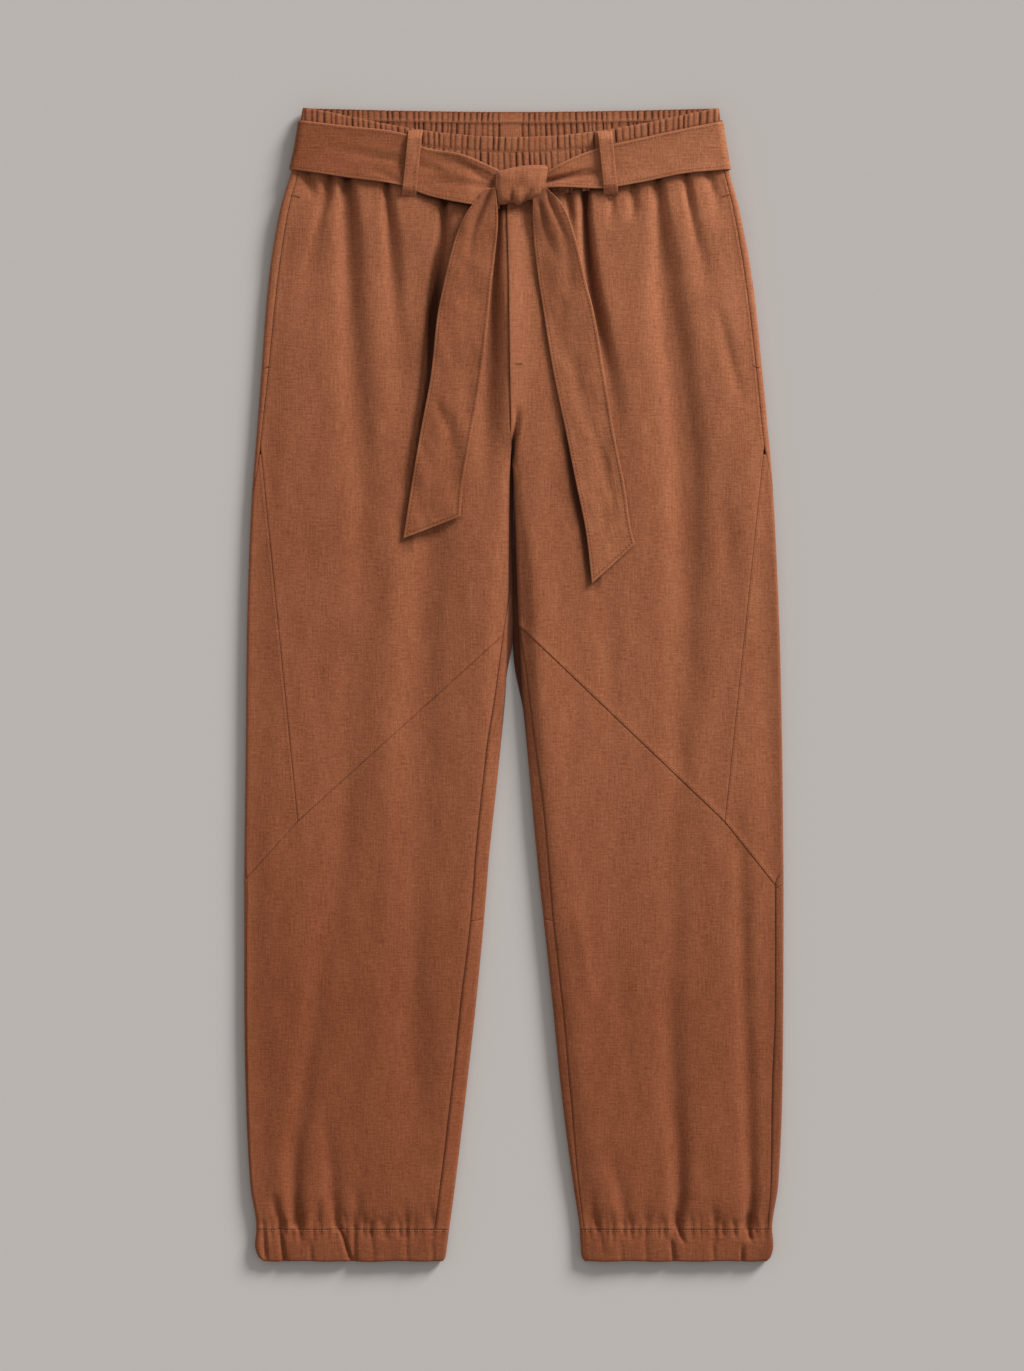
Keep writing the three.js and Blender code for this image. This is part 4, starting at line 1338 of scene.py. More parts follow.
@dataclass
class Knot:
    """The sash's knot: a turn of cloth wrapped flat round the crossing, with puckers under it."""

    folds: tuple[Fold, ...]
    centre: tuple[float, float] = (7.6, 432.4)
    base: float = 15.2
    height: float = 9.4
    sides: int = 144
    rings: int = 44
    outline: tuple[Row, ...] = (
        (-13.6, 444.2), (-5, 447), (8, 449.6), (20, 450.2), (28.8, 449.4), (29.4, 443), (27.6, 434),
        (25.4, 424.5), (18.5, 420), (11.4, 419.6), (4.8, 415.4), (-1.4, 417.4), (-9, 415.8),
        (-14.8, 417.2), (-15.8, 430), (-15.2, 439),
    )

    def rim(self) -> Grid:
        """The outline as a closed smooth curve through its corners."""
        corners = np.array(self.outline)
        turn = np.linspace(0, len(corners), self.sides, endpoint=False)
        i, t = np.floor(turn).astype(int), (turn % 1.0)[:, None]
        before, start, end, after = (corners[(i + k) % len(corners)] for k in (-1, 0, 1, 2))
        squared = (2 * before - 5 * start + 4 * end - after) * t**2
        cubed = (3 * start - before - 3 * end + after) * t**3
        return 0.5 * (2 * start + (end - before) * t + squared + cubed)

    def faces(self, layer: int) -> Grid:
        """The faces of the dome and of its base.

        Args:
            layer: how many vertices each of them has, before the one at its middle.

        Returns:
            Four vertices for each face.
        """
        number = np.arange(layer).reshape(-1, self.sides)
        after = np.roll(number, -1, 1)
        faces = [
            quads(number[:-1], number[1:], after[1:], after[:-1]),
            quads(number[:-1] + layer, after[:-1] + layer, after[1:] + layer, number[1:] + layer),
            quads(number[-1], number[-1] + layer, after[-1] + layer, after[-1]),
        ]
        pair = np.arange(0, self.sides, 2)
        for offset, middle, way in ((0, 2 * layer, 1), (layer, 2 * layer + 1, -1)):
            ring = [(pair + k) % self.sides + offset for k in range(3)]
            faces.append(quads(np.full(len(pair), middle), *ring)[:, ::way])
        return np.concatenate(faces)

    def build(self) -> Piece:
        """Makes the knot as a closed form, domed over a flat base."""
        share = np.sin(np.linspace(0.0, np.pi / 2, self.rings))[1:, None]
        x, y = (middle + (rim - middle) * share for middle, rim in zip(self.centre, self.rim().T))
        dome = self.height * np.sqrt(np.maximum(0.0, 1 - share**9)) + 0 * x
        roll = 1.0 - 0.28 * fade(y, 436, 450) - 0.10 * fade(y, 424, 416)
        folded = lifted(self.folds, x, y) * np.sqrt(np.maximum(0.0, 1 - share**8))
        ripple = lifted((Unevenness(77, 9.0, 7.0, 0.3), Unevenness(78, 20.0, 14.0, 0.4)), x, y)
        top = self.base + np.maximum(0.3, dome * roll + folded + ripple * (1 - share**6))
        layers = [points_at(x, y, z).reshape(-1, 3) for z in (top, self.base + 0 * x)]
        middles = np.array([[*self.centre, top[0].mean()], [*self.centre, self.base]])
        points = np.concatenate([*layers, middles]) / METRE
        # painted highlight along the knot's left rim
        edge = 1.4 * bell(x + 14.8, 1.2) * fade(y, 416, 420)
        # painted shade at its lower right
        lower = 0.3 * fade(x, 12, 24) * fade(y, 436, 424)
        # painted light: a little paler all over, with painted shade in the puckers and at the dome's foot
        shade = (0.14 + 0.3 * folded - 0.15 * share**14 + edge - lower).ravel()
        under = np.zeros(x.size + len(middles))
        return solid("belt_knot", points, self.faces(x.size), points[:, :2], np.concatenate([shade, under]))


@dataclass
class BeltLoop:
    """A narrow strip sewn down at both ends, over the sash."""

    name: str
    top: tuple[float, float]
    bottom: tuple[float, float]
    legs: tuple[Leg, Leg]
    width: float = 12.6
    wall: float = 1.2
    inset: float = 2.2
    edge: Seam = Seam(lift=0.25, reach=1.6, sink=0.45, lip=0.6)

    def strip(self, down: Grid, offset: Grid) -> tuple[Grid, Grid, Grid, Grid]:
        """Finds points of the strip's underside.

        Args:
            down: shares of the way down it.
            offset: distances from its middle line.

        Returns:
            Places across, up the garment and up, and the distance from the nearer end.
        """
        x, y = (mix(start, end, down) + 0 * offset for start, end in zip(self.top, self.bottom))
        x = x + offset
        away = np.minimum(down, 1 - down) * (self.top[1] - self.bottom[1])
        level = by_side(x, self.legs, lambda leg: leg.level(x, y)) + 0.25 * np.sin(y / 6.0 + x / 5.0)
        return x, y, level + 0.5 + LOOP_HEIGHT * np.sqrt(fade(away, 0, 9)), away

    def build(self) -> Piece:
        """Makes the loop, a little narrower half way down."""
        down = graded(60, 1.0)[:, None]
        side = graded(self.width, 0.9)[None, :] - 0.5
        x, y, z, away = self.strip(down, side * (self.width - 0.5 * np.sin(np.pi * down)))
        rim = (0.5 - np.abs(side)) * self.width
        z = z + self.edge.rise(rim) + self.edge.rise(away)
        layers = [points_at(x, y, z + out) for out in (self.wall, 0.0)]
        # paler along its sides, partly wear and partly painted highlight, and painted shade at its sewn ends
        shade = 0.3 * decay(rim, 0.7) - 0.3 * decay(away, 0.8)
        return shell(self.name, *layers, (side * self.width + 0 * y, y), shade)

    def stitch_lines(self) -> list[Grid]:
        """Stitch lines down both edges."""
        offset = self.width / 2 - self.inset
        found = [self.strip(np.linspace(0.05, 0.95, 60), away) for away in (-offset, offset)]
        return [points_at(x, y, z + self.wall + 0.15) for x, y, z, _ in found]


@dataclass
class UnderSash:
    """What of the sash lies under the waist: its back stretch and the loop that holds it there."""

    band: Waistband
    edges: tuple[float, float] = (490.0, 447.0)
    loop: tuple[float, float] = (496.0, 441.0)
    loop_width: float = 12.0
    loop_wall: float = 1.2

    def stretch(self) -> Piece:
        """Makes the back stretch, from side edge to side edge."""
        down = graded(43, 2.0)[:, None]
        share = np.linspace(-1, 1, 180)[None, :] + 0 * down
        y = mix(*self.edges, down) + 0 * share
        layers = [self.band.points(y, share, False, 0.3 + out)[0] for out in (WALL, 0.0)]
        return shell("belt_back", *layers, (y, share * 190), 0.0 * y)

    def strap(self) -> Piece:
        """Makes the loop at the centre of the back."""
        down = graded(55, 1.0)[:, None]
        side = graded(self.loop_width, 1.0)[None, :] - 0.5
        y = mix(*self.loop, down) + 0 * side
        x = side * self.loop_width + 0 * y
        away = np.minimum(down, 1 - down) * (self.loop[0] - self.loop[1])
        level = self.band.points(y, np.sign(x) * 1e-6, False, 0.0)[0][..., 2]
        level = level - 0.3 - 1.8 * fade(away, 2, 4)
        layers = [points_at(x, y, level - out) for out in (self.loop_wall, 0.0)]
        return shell("belt_loop_back", *layers, (x, y), 0.0 * y)


class Shading(Tree):
    """A material's node tree."""

    def __init__(self, name: str) -> None:
        """Starts a material with one Principled shader."""
        self.material = bpy.data.materials.new(name)
        self.material.use_nodes = True
        super().__init__(self.material.node_tree)
        self.tree.nodes.clear()
        self.shader = self.node("ShaderNodeBsdfPrincipled")
        self.node("ShaderNodeOutputMaterial", {"Surface": self.shader.outputs[0]})

    def place(self) -> Socket:
        """Where on the garment a point lies."""
        return self.node("ShaderNodeTexCoord").outputs["Object"]

    def noise(self, vector: Socket, sizes: tuple[float, float, float], detail: float = 2.0) -> Number:
        """Smooth noise around 0.

        Args:
            vector: where it is read.
            sizes: how wide its swells are each way.
            detail: how fine they get.

        Returns:
            The noise.
        """
        shares = tuple(1.0 / size for size in sizes)
        place = self.made("ShaderNodeVectorMath", {0: vector, 1: shares}, operation="MULTIPLY")
        noise = self.made("ShaderNodeTexNoise", {"Vector": place, "Scale": 1.0, "Detail": detail})
        return Number(self, noise) - 0.5

    def blend(self, share: Number, low: object, high: object) -> Socket:
        """A colour between two others."""
        return self.node("ShaderNodeMix", {0: share, 6: low, 7: high}, data_type="RGBA").outputs[2]

    def finish(self, inputs: dict[str, object]) -> Material:
        """Sets the shader's inputs and returns the material."""
        for label, value in inputs.items():
            self.feed(self.shader.inputs[label], value)
        return self.material


def colour(red: float, green: float, blue: float) -> Colour:
    """A linear colour with full cover."""
    return (red, green, blue, 1.0)


def darker(shade: Colour, share: float) -> Colour:
    """A share of a colour's brightness."""
    return colour(*(share * part for part in shade[:3]))


@dataclass(frozen=True)
class Linen:
    """Plain-woven washed linen: slubs both ways, mottled dye, matt with a faint bloom, and painted light that
    makes it paler towards the top right and darker towards the cuffs.
    """

    name: str
    # deep and pale bound the cloth's tone; the painted light moves it towards pale at the top right and
    # towards deep at the cuffs
    deep: Colour
    pale: Colour
    painted_top_light: float = 2.2  # how fast the painted light makes the cloth paler towards the waist
    slope: float = 0.62  # how fast the painted light makes it paler towards the right
    pitch: float = 0.0011  # from thread to thread but one
    fleck: float = 0.95
    mottle: float = 0.55
    relief: float = 0.5
    bloom: Colour = (0.95, 0.72, 0.58, 1.0)

    def painted_light(self, s: Shading) -> Number:
        """The painted light: the cloth is painted palest at the top right and darkest at the cuffs."""
        x, y = s.axes(s.place())
        low, high = (y + 0.03).held(-0.25, 0.0), y.held(0.0, 0.37)
        return 0.72 + 1.3 * low + self.painted_top_light * high * high + x * (self.slope + 0.9 * y)

    def make(self) -> Material:
        """Makes the material."""
        s = Shading(self.name)
        cloth = s.made("ShaderNodeUVMap", uv_map="cloth")
        across, along = s.axes(cloth)
        slubs = s.noise(cloth, (0.010, 0.0012, 1.0)) + s.noise(cloth, (0.0012, 0.018, 1.0))
        fleck = s.noise(cloth, (0.0021, 0.0024, 1.0), 1.0)
        dye = s.noise(cloth, (0.016, 0.05, 1.0), 3.0)
        turn = 2 * np.pi / self.pitch
        weave = (across * turn).wave() * (along * turn).wave()
        painted_light = self.painted_light(s)
        tone = painted_light + (0.34 + 0.74 * painted_light) * (slubs + self.fleck * fleck + self.mottle * dye)
        # the shade attribute paints shade below 0 and paler cloth above 0, the latter partly worn rims and
        # partly painted highlights
        shade = Number(s, s.node("ShaderNodeAttribute", attribute_name="shade").outputs["Fac"])
        # the tone carries the painted light, paler towards the top right
        plain = s.blend((0.606 * tone).held(), self.deep, self.pale)
        highlit_and_worn = s.blend((0.6 * shade + 0.35 * shade * slubs).held(), plain, self.pale)
        height = 0.35 * weave + 1.3 * slubs + 0.7 * fleck
        relief = {"Strength": self.relief, "Distance": 0.0003, "Height": height}
        return s.finish({
            # painted shade blends the cloth towards a third of its deep colour
            "Base Color": s.blend((-0.75 * shade).held(), highlit_and_worn, darker(self.deep, 0.34)),
            "Roughness": (0.86 + 0.12 * slubs).held(0.6, 1.0),
            "Normal": s.made("ShaderNodeBump", relief),
            "Sheen Weight": 0.12,
            "Sheen Roughness": 0.5,
            "Sheen Tint": self.bloom,
            "Specular IOR Level": 0.2,
        })


@dataclass(frozen=True)
class Thread:
    """Twisted sewing thread, a shade off the cloth."""

    name: str
    body: Colour
    twist: float = 0.0009
    mottle: float = 0.004  # size of the uneven patches of its dye

    def make(self) -> Material:
        """Makes the material."""
        s = Shading(self.name)
        place = s.place()
        across, along = s.axes(place)
        ply = ((across + along) * (2 * np.pi / self.twist)).wave()
        tone = (0.5 + 0.3 * ply + s.noise(place, (self.mottle,) * 3)).held()
        return s.finish({
            "Base Color": s.blend(tone, darker(self.body, 0.8), self.body),
            "Roughness": (0.7 + 0.1 * ply).held(),
            "Specular IOR Level": 0.3,
        })


@dataclass(frozen=True)
class Paper:
    """Pale matt paper with a faint grain."""

    low: Colour = (0.472, 0.444, 0.423, 1.0)
    high: Colour = (0.486, 0.458, 0.436, 1.0)
    grain: float = 0.004

    def make(self) -> Material:
        """Makes the material."""
        s = Shading("pale paper")
        tone = (0.5 + 0.4 * s.noise(s.place(), (self.grain,) * 3)).held()
        base = s.blend(tone, self.low, self.high)
        return s.finish({"Base Color": base, "Roughness": 0.95, "Specular IOR Level": 0.1})


@dataclass(frozen=True)
class Studio:
    """The plain floor, the soft light and the camera straight above."""

    floor_size: float = 14.0
    view_height: float = 1.1887  # what the camera takes in, from the top of its view to the foot
    distance: float = 4.0
    sensor: float = 36.0
    centre: tuple[float, float] = (-0.0013, -0.0004)
    key: float = 4.3
    key_width: float = 0.35
    key_from: tuple[float, float, float] = (0.6, 0.65, 0.37)
    even: float = 0.48
    even_colour: Colour = (1.0, 0.99, 0.98, 1.0)

    def floor(self) -> None:
        """Makes the surface that the garment lies on."""
        bpy.ops.mesh.primitive_plane_add(size=self.floor_size, location=(0, 0, -0.0002))
        plane = bpy.context.object
        plane.name = "surface"
        plane.data.materials.append(Paper().make())

    def lights(self) -> None:
        """Sets a wide soft light low at the upper right and an even light all round."""
        data = bpy.data.lights.new("key", "SUN")
        data.energy = self.key
        data.angle = self.key_width
        lamp = put("key", data)
        lamp.rotation_mode = "QUATERNION"
        lamp.rotation_quaternion = Vector(self.key_from).to_track_quat("Z", "Y")
        world = bpy.data.worlds.new("even light")
        world.use_nodes = True
        sky = world.node_tree.nodes["Background"].inputs
        sky[0].default_value = self.even_colour
        sky[1].default_value = self.even
        bpy.context.scene.world = world
        bpy.context.scene.view_settings.view_transform = "Standard"

    def camera(self) -> None:
        """Hangs the camera straight above, with a long lens."""
        data = bpy.data.cameras.new("camera")
        data.sensor_width = self.sensor
        data.lens = self.sensor * self.distance / self.view_height
        data.clip_end = 10 * self.distance
        camera = put("camera", data)
        camera.location = (*self.centre, self.distance + 0.01)
        bpy.context.scene.camera = camera


FLY = Fold((432, -4, 11, 1.2), (334, -4, 12, 1.7), (264, -4, 12, 1.4), (225, -3, 11, 0.8), (205, -3, 9, 0))
LEFT_FOLDS = (
    FLY,
    # pucker by the pocket
    Fold((445, -159, 4, -3), (429, -161, 4, -3.5), (408, -167, 5, -2), (377, -174, 7, -1),
         (334, -180, 9, 0)),
    # main gather
    Fold((445, -145, 4.5, -5), (429, -144, 5, -6), (403, -143, 7, -4.8), (368, -142, 9, -3.8),
         (325, -141, 10, -3.2), (290, -140, 11, -2.7), (247, -137, 12, -2.3), (204, -134, 13, -1.9),
         (150, -133, 14, -1.4), (90, -134, 14, -0.8), (40, -136, 14, 0)),
    # gather before the loop
    Fold((442, -110, 3, -4), (425, -109, 3.5, -4), (399, -107, 5, -3.4), (364, -105, 7, -2.8),
         (330, -103, 8, -2), (290, -100, 10, -1.2), (240, -97, 11, 0)),
    # gather beside the tail
    Fold((431, -60, 2.8, -4), (412, -60, 3.2, -5), (390, -61, 4, -5.6), (367, -65, 5.2, -6),
         (330, -69, 6, -5.4), (290, -73, 5.5, -3.6), (247, -80, 5, -2.2), (200, -87, 6, -1.2),
         (160, -92, 7, -0.6), (130, -95, 8, 0)),
    # broad hollow outside it
    Fold((380, -78, 10, 0), (330, -84, 13, -1.2), (250, -94, 14, -1.3), (170, -99, 14, -0.8),
         (110, -100, 14, 0)),
    # valley beside the fly
    Fold((420, -13, 1.8, -2.5), (386, -13.5, 2.2, -3.5), (360, -15.5, 3, -4), (334, -16.5, 5, -4.6),
         (273, -20, 9, -4), (221, -24, 11, -2.5), (169, -27, 12, -1), (126, -29, 12, 0)),
    # small pucker at the side
    Fold((448, -180, 4, -2), (438, -177, 4, -2), (419, -174, 5, 0)),
    # long hollow down the leg
    Fold((60, -136, 13, 0), (0, -140, 15, -1.3), (-95, -146, 14, -2), (-182, -155, 13, -1.9),
         (-250, -167, 12, -2), (-312, -176, 10, -2.2), (-368, -184, 9, -2.6), (-403, -189, 8, -3.6),
         (-438, -190, 6.5, -4), (-466, -188, 5, -3.4), (-474, -186, 4, 0)),
    # hollow inside the leg
    Fold((215, -62, 10, 0), (160, -66, 14, -1.9), (108, -72, 17, -2.9), (39, -76, 18, -3.1),
         (-13, -78, 18, -3), (-65, -80, 17, -2.8), (-126, -83, 15, -2.4), (-186, -86, 14, -1.9),
         (-250, -88, 12, -1.7), (-320, -86, 10, -1.3), (-370, -84, 9, -0.6), (-400, -84, 8, 0)),
    # ridge beside it
    Fold((143, -104, 10, 0), (100, -104, 10, 0.8), (39, -106, 10, 1), (-30, -108, 10, 0.9),
         (-100, -110, 9, 0.8), (-200, -112, 9, 0.7), (-280, -112, 9, 0)),
    # swell above the cuff
    Fold((-221, -116, 16, 0), (-273, -118, 18, 0.6), (-342, -120, 18, 0.6), (-403, -107, 16, 0.8),
         (-438, -105, 12, 0.6), (-460, -104, 8, 0)),
    # cuff gathers
    Fold((-351, -166, 7, 0), (-386, -163, 7, -1), (-429, -158, 6, -1.6), (-455, -155, 5, -2.4),
         (-469, -153, 4, -2), (-475, -152, 4, 0)),
    Fold((-440, -207, 4, 0), (-453, -206, 4, -2), (-467, -202, 3.5, -2), (-475, -202, 3, 0)),
    Fold((-429, -135, 5, 0), (-451, -136, 5, -1.4), (-469, -137, 4, -1.2), (-475, -137, 3, 0)),
    Fold((-445, -170, 4, 0), (-457, -170, 4, -1.2), (-475, -171, 3, 0)),
    Fold((-443, -95, 5, 0), (-459, -94, 4, -0.8), (-475, -93, 3, 0)),
    Fold((-446, -72, 4, 0), (-460, -72, 4, -0.7), (-475, -72, 3, 0)),
)
RIGHT_FOLDS = (
    # pleat beside the tail
    Fold((440, 62, 2.8, -5), (416, 62, 3.2, -6.5), (386, 63.5, 4, -6.5), (351, 67, 5, -6),
         (316, 73, 6.4, -4.8), (282, 80, 8, -3), (230, 88, 10, -1.4), (180, 94, 10, 0)),
    # pucker
    Fold((431, 47, 3, -3), (416, 48, 3, -2.5), (394, 50, 3, 0)),
    # pucker
    Fold((431, 84, 3, -2), (416, 85, 3, -1.5), (396, 84, 4, 0)),
    # pucker
    Fold((438, 104, 3.5, -3), (420, 104, 3.5, -2.5), (401, 102, 4, 0)),
    # main gather
    Fold((441, 125, 4, -4), (420, 126, 5, -4.2), (394, 128, 7.5, -4.2), (360, 131, 11, -4.2),
         (316, 136, 13, -4.4), (282, 141, 14, -4.4), (238, 146, 14, -4.5), (186, 150, 15, -4.2),
         (134, 151, 15, -3.9), (74, 151, 15, -3.8), (22, 151, 15, -3.5), (-30, 147, 14, -2.9),
         (-91, 142, 12, -1.8), (-152, 138, 11, -1.3), (-204, 137, 11, -1.7), (-264, 136, 11, -2.4),
         (-316, 138, 10, -3.4), (-368, 140, 9, -3.7), (-412, 143, 7.5, -4.2), (-446, 144, 6, -4.5),
         (-466, 142, 4.5, -3), (-475, 142, 3, 0)),
    # gather at the hip
    Fold((448, 149, 3, -3.4), (425, 152, 3.6, -3), (399, 156, 5, -1.9), (367, 163, 7, -1.1),
         (334, 168, 8, 0)),
    # small pucker at the side
    Fold((448, 169, 3.5, -2.5), (436, 171, 4, -1.8), (416, 176, 5, -0.8), (394, 179, 6, 0)),
    # slanting crease above the pocket's end
    Fold((330, 178, 4.5, 0), (308, 182, 5.5, -0.9), (286, 187, 5.5, -1.2), (260, 194, 6, -0.9),
         (238, 200, 6, 0)),
    # hollow at the thigh
    Fold((100, 81, 8, 0), (56, 81, 8, -0.7), (4, 84, 8, -0.5), (-30, 85, 8, 0)),
    # hollow down the shin
    Fold((-110, 196, 9, 0), (-150, 197, 8, -1.8), (-212, 199, 7, -2.4), (-264, 200, 7, -2.4),
         (-316, 202, 7, -2.8), (-368, 204, 6.5, -3.2), (-412, 205, 6, -3.8), (-446, 206, 5, -4.2),
         (-468, 204, 4, -3.6), (-475, 204, 3.5, 0)),
    # cuff gathers
    Fold((-394, 83, 6, 0), (-416, 86, 6, -1), (-438, 92, 6, -1.4), (-462, 96, 5, -1), (-475, 96, 4, 0)),
    Fold((-420, 68, 4, 0), (-446, 68, 4, -1), (-467, 72, 3.5, -1.4), (-476, 74, 3, 0)),
    # ridge at the calf
    Fold((-182, 51, 6, 0), (-217, 58, 6, 0.9), (-260, 65, 6, 0.8), (-282, 68, 6, 0)),
    # crease at the calf
    Fold((-238, 94, 7, 0), (-273, 94, 6, -0.6), (-316, 98, 6, -0.6), (-351, 101, 6, 0)),
    # swell of the thigh
    Fold((420, 117, 12, 0.6), (334, 115, 14, 0.8), (247, 113, 14, 0.6), (160, 117, 14, 0.6),
         (74, 120, 14, 0)),
    # hollow by the side panel
    Fold((160, 183, 7, 0), (126, 186, 7, -0.8), (74, 184, 8, 0)),
    # cuff gathers
    Fold((-443, 172, 5, 0), (-459, 173, 5, -1), (-475, 172, 3, 0)),
    Fold((-446, 115, 4, 0), (-460, 114, 4, -0.8), (-475, 114, 3, 0)),
    Fold((-446, 221, 3, 0), (-460, 220, 3, -0.8), (-475, 219, 3, 0)),
    FLY,
    # dimple at the crotch
    Fold((243, 3.4, 2.2, 0), (231, 3, 2.4, -2), (221, 1.6, 2.4, -3.2), (211, -0.2, 2.2, -4.2),
         (200, -0.9, 2, -4), (188, -0.9, 2, 0)),
)
LEFT_SASH_FOLDS = (
    # crease fanning out from the knot
    Fold((-18.6, 437.8, 3, -3.5), (-29, 443, 4, -3.6), (-44.7, 450, 5, -2.4), (-63.7, 456, 6, -1.2),
         (-81.1, 461.2, 6, -0.6), (-98.4, 463.8, 5, 0), run=Run.ACROSS),
    # crease at the loop
    Fold((-90, 453.6, 2.5, 0), (-97, 455, 2.8, -2.6), (-112, 457.4, 3.2, -2.5), (-130, 460, 4, -1.7),
         (-150, 463.4, 5, -0.7), (-166, 466, 6, 0), run=Run.ACROSS),
    # crease past the loop
    Fold((-85, 453.8, 2.5, -1.8), (-77, 450.8, 2.8, -2.2), (-68, 447.4, 3, -1.4),
         (-58, 444, 3.5, 0), run=Run.ACROSS),
    # lower crease at the knot
    Fold((-13.4, 433.5, 3, -1.5), (-29, 432.6, 3, -1.2), (-50.7, 434.4, 4, -0.8),
         (-72.4, 439.6, 5, 0), run=Run.ACROSS),
    # lower crease at the loop
    Fold((-101.9, 437, 3, -1.2), (-115.7, 443, 4, -0.8), (-133.1, 448.2, 5, 0), run=Run.ACROSS),
)
RIGHT_SASH_FOLDS = (
    # fold between the layers
    Fold((28.2, 436, 2.2, -4), (36, 437.6, 2.4, -4.4), (50.3, 441, 2.8, -4), (66, 444, 3.2, -3.2),
         (78, 445.6, 4, -1.8), (109.7, 456.9, 6, -0.6), (131.4, 459.5, 7, 0), run=Run.ACROSS),
    # crease past the loop
    Fold((75, 439.6, 3, 0), (85.4, 441.3, 4, -0.5), (109.7, 446.5, 5, -0.6),
         (135.7, 450, 6, 0), run=Run.ACROSS),
)
LEFT_TAIL_FOLDS = (
    # fold from the knot
    Fold((431, -19, 2.5, -2), (420, -24, 3, -3), (403, -32, 3.5, -3), (386, -37, 4, -1.8),
         (367, -39, 5, -0.6), (347, -41, 5, 0)),
    # hollow
    Fold((367, -38, 8, 0), (342, -38, 9, -0.7), (308, -41, 8, -0.5), (282, -46, 8, 0)),
    # crease near the end
    Fold((251, -67, 4, 0), (234, -62, 4, -0.7), (212, -53, 4, -0.8), (186, -48, 4, 0)),
    # crease near the end
    Fold((249, -51, 5, 0), (225, -55, 5, -0.8), (204, -58, 5, -0.5), (173, -66, 5, 0)),
)
RIGHT_TAIL_FOLDS = (
    # fold from the knot
    Fold((425, 30, 2.5, -1.6), (416, 33, 2.8, -2), (399, 40, 3.2, -1.6), (382, 46, 4, -1),
         (356, 48, 6, -0.8), (325, 51, 6, 0)),
    # dent under the knot
    Fold((414, 23, 2.5, -1.4), (399, 26, 3, -1.2), (383, 31, 3.5, -0.6), (370, 35, 5, 0)),
    # long crease
    Fold((295, 46, 5, 0), (277, 52, 5, -1), (251, 58, 5, -1.1), (225, 66, 5, -0.9), (195, 75, 5, -0.6),
         (169, 80, 5, 0)),
    # crease near the end
    Fold((212, 72, 4, 0), (195, 78, 4, -0.8), (169, 84, 4, -0.8), (143, 89, 4, 0)),
)
KNOT_FOLDS = (
    # soft valley across the turn
    Fold((449.1, 9, 4, 0), (441.3, 7, 5, -0.5), (432, 2, 5, -0.7), (424, -1, 4, -0.4)),
    # left pucker
    Fold((431, -1, 1.6, 0), (425, -2, 2, -1.4), (420.5, -2.4, 2.2, -2), (416, -2, 2, -0.6)),
    # right pucker
    Fold((430, 15.5, 1.8, 0), (426, 14, 2.2, -0.9), (421.5, 10.8, 2.4, -1.9), (416, 7.6, 2.2, -0.8)),
    # roll between them
    Fold((434, 6.4, 2.6, 0), (425, 4.6, 2.6, 0.5), (418, 3.6, 3, 0.3)),
)
CUFF_FOLDS_LEFT = (
    Fold((-473, -203, 2, -1.8), (-484, -201, 2, -2), (-500, -199, 2.2, -2)),
    Fold((-473, -186, 1.8, -1.4), (-486, -185, 1.8, 0)),
    Fold((-473, -150, 1.8, -1.8), (-484, -146, 1.8, -2.2), (-500, -141, 2.2, -2)),
    Fold((-468, -217, 1.8, -1.4), (-486, -216, 2, -2), (-500, -215, 2.2, -1.8)),
    Fold((-473, -137, 1.8, -1), (-486, -138, 2, -1.2), (-500, -138, 2.2, -1.4)),
    Fold((-480, -176, 2, 0), (-490, -176, 2, -0.6), (-500, -175, 2.2, -0.8)),
    Fold((-474, -93, 2.2, -0.5), (-490, -93, 2.4, -0.7), (-500, -92, 2.4, -0.5)),
    Fold((-476, -124, 2.2, -0.4), (-490, -122, 2.4, -0.6), (-500, -122, 2.4, -0.4)),
    Fold((-474, -72, 2.2, -0.4), (-500, -70, 2.6, -0.5)),
)
CUFF_FOLDS_RIGHT = (
    Fold((-460, 141, 2, -1.5), (-474, 144, 2, -2), (-487, 149, 2, 0)),
    Fold((-478, 136, 2, 0), (-490, 138, 2, -1.6), (-500, 139, 2.2, -1.8)),
    Fold((-462, 204, 2, -2), (-476, 205, 2, -2.8), (-484, 206, 1.8, 0)),
    Fold((-484, 199, 1.8, 0), (-492, 198, 1.8, -1.4), (-500, 198, 2, -1.6)),
    Fold((-474, 172, 2.2, -0.6), (-488, 173, 2.4, -0.8), (-500, 174, 2.4, -0.6)),
    Fold((-474, 114, 2.2, -0.5), (-500, 115, 2.6, -0.6)),
    Fold((-474, 75, 2.2, -0.7), (-488, 77, 2.4, -0.5), (-500, 78, 2.4, 0)),
    Fold((-476, 92, 2, -0.3), (-500, 94, 2.4, -0.5)),
)
BACK_FOLDS_LEFT = (
    Fold((440, -150, 5, 2), (380, -146, 9, 1.6), (250, -140, 14, 0.8), (140, -138, 16, 0)),
    Fold((440, -96, 5, 1.6), (390, -98, 8, 1.2), (300, -104, 12, 0)),
    Fold((440, -52, 5, 1.6), (370, -56, 9, 1.2), (250, -60, 14, 0.6), (150, -66, 15, 0)),
    Fold((160, -110, 12, 0), (40, -118, 16, 1), (-120, -130, 16, 0.8), (-260, -136, 14, 0)),
    Fold((-240, -180, 9, 0), (-380, -186, 8, 1.2), (-470, -190, 4, 2)),
    Fold((-330, -118, 10, 0), (-420, -122, 8, 1), (-470, -124, 4, 1.8)),
)
BACK_FOLDS_RIGHT = (
    Fold((440, 146, 5, 2), (370, 150, 9, 1.4), (220, 152, 14, 0.8), (100, 150, 16, 0)),
    Fold((440, 100, 5, 1.4), (380, 98, 8, 1), (290, 96, 12, 0)),
    Fold((440, 44, 5, 1.8), (360, 50, 9, 1.2), (240, 56, 14, 0)),
    Fold((120, 120, 12, 0), (0, 128, 16, 1), (-160, 134, 16, 0.7), (-280, 138, 14, 0)),
    Fold((-260, 184, 9, 0), (-390, 188, 8, 1.2), (-470, 190, 4, 2)),
    Fold((-320, 112, 10, 0), (-420, 110, 8, 1), (-470, 108, 4, 1.6)),
)
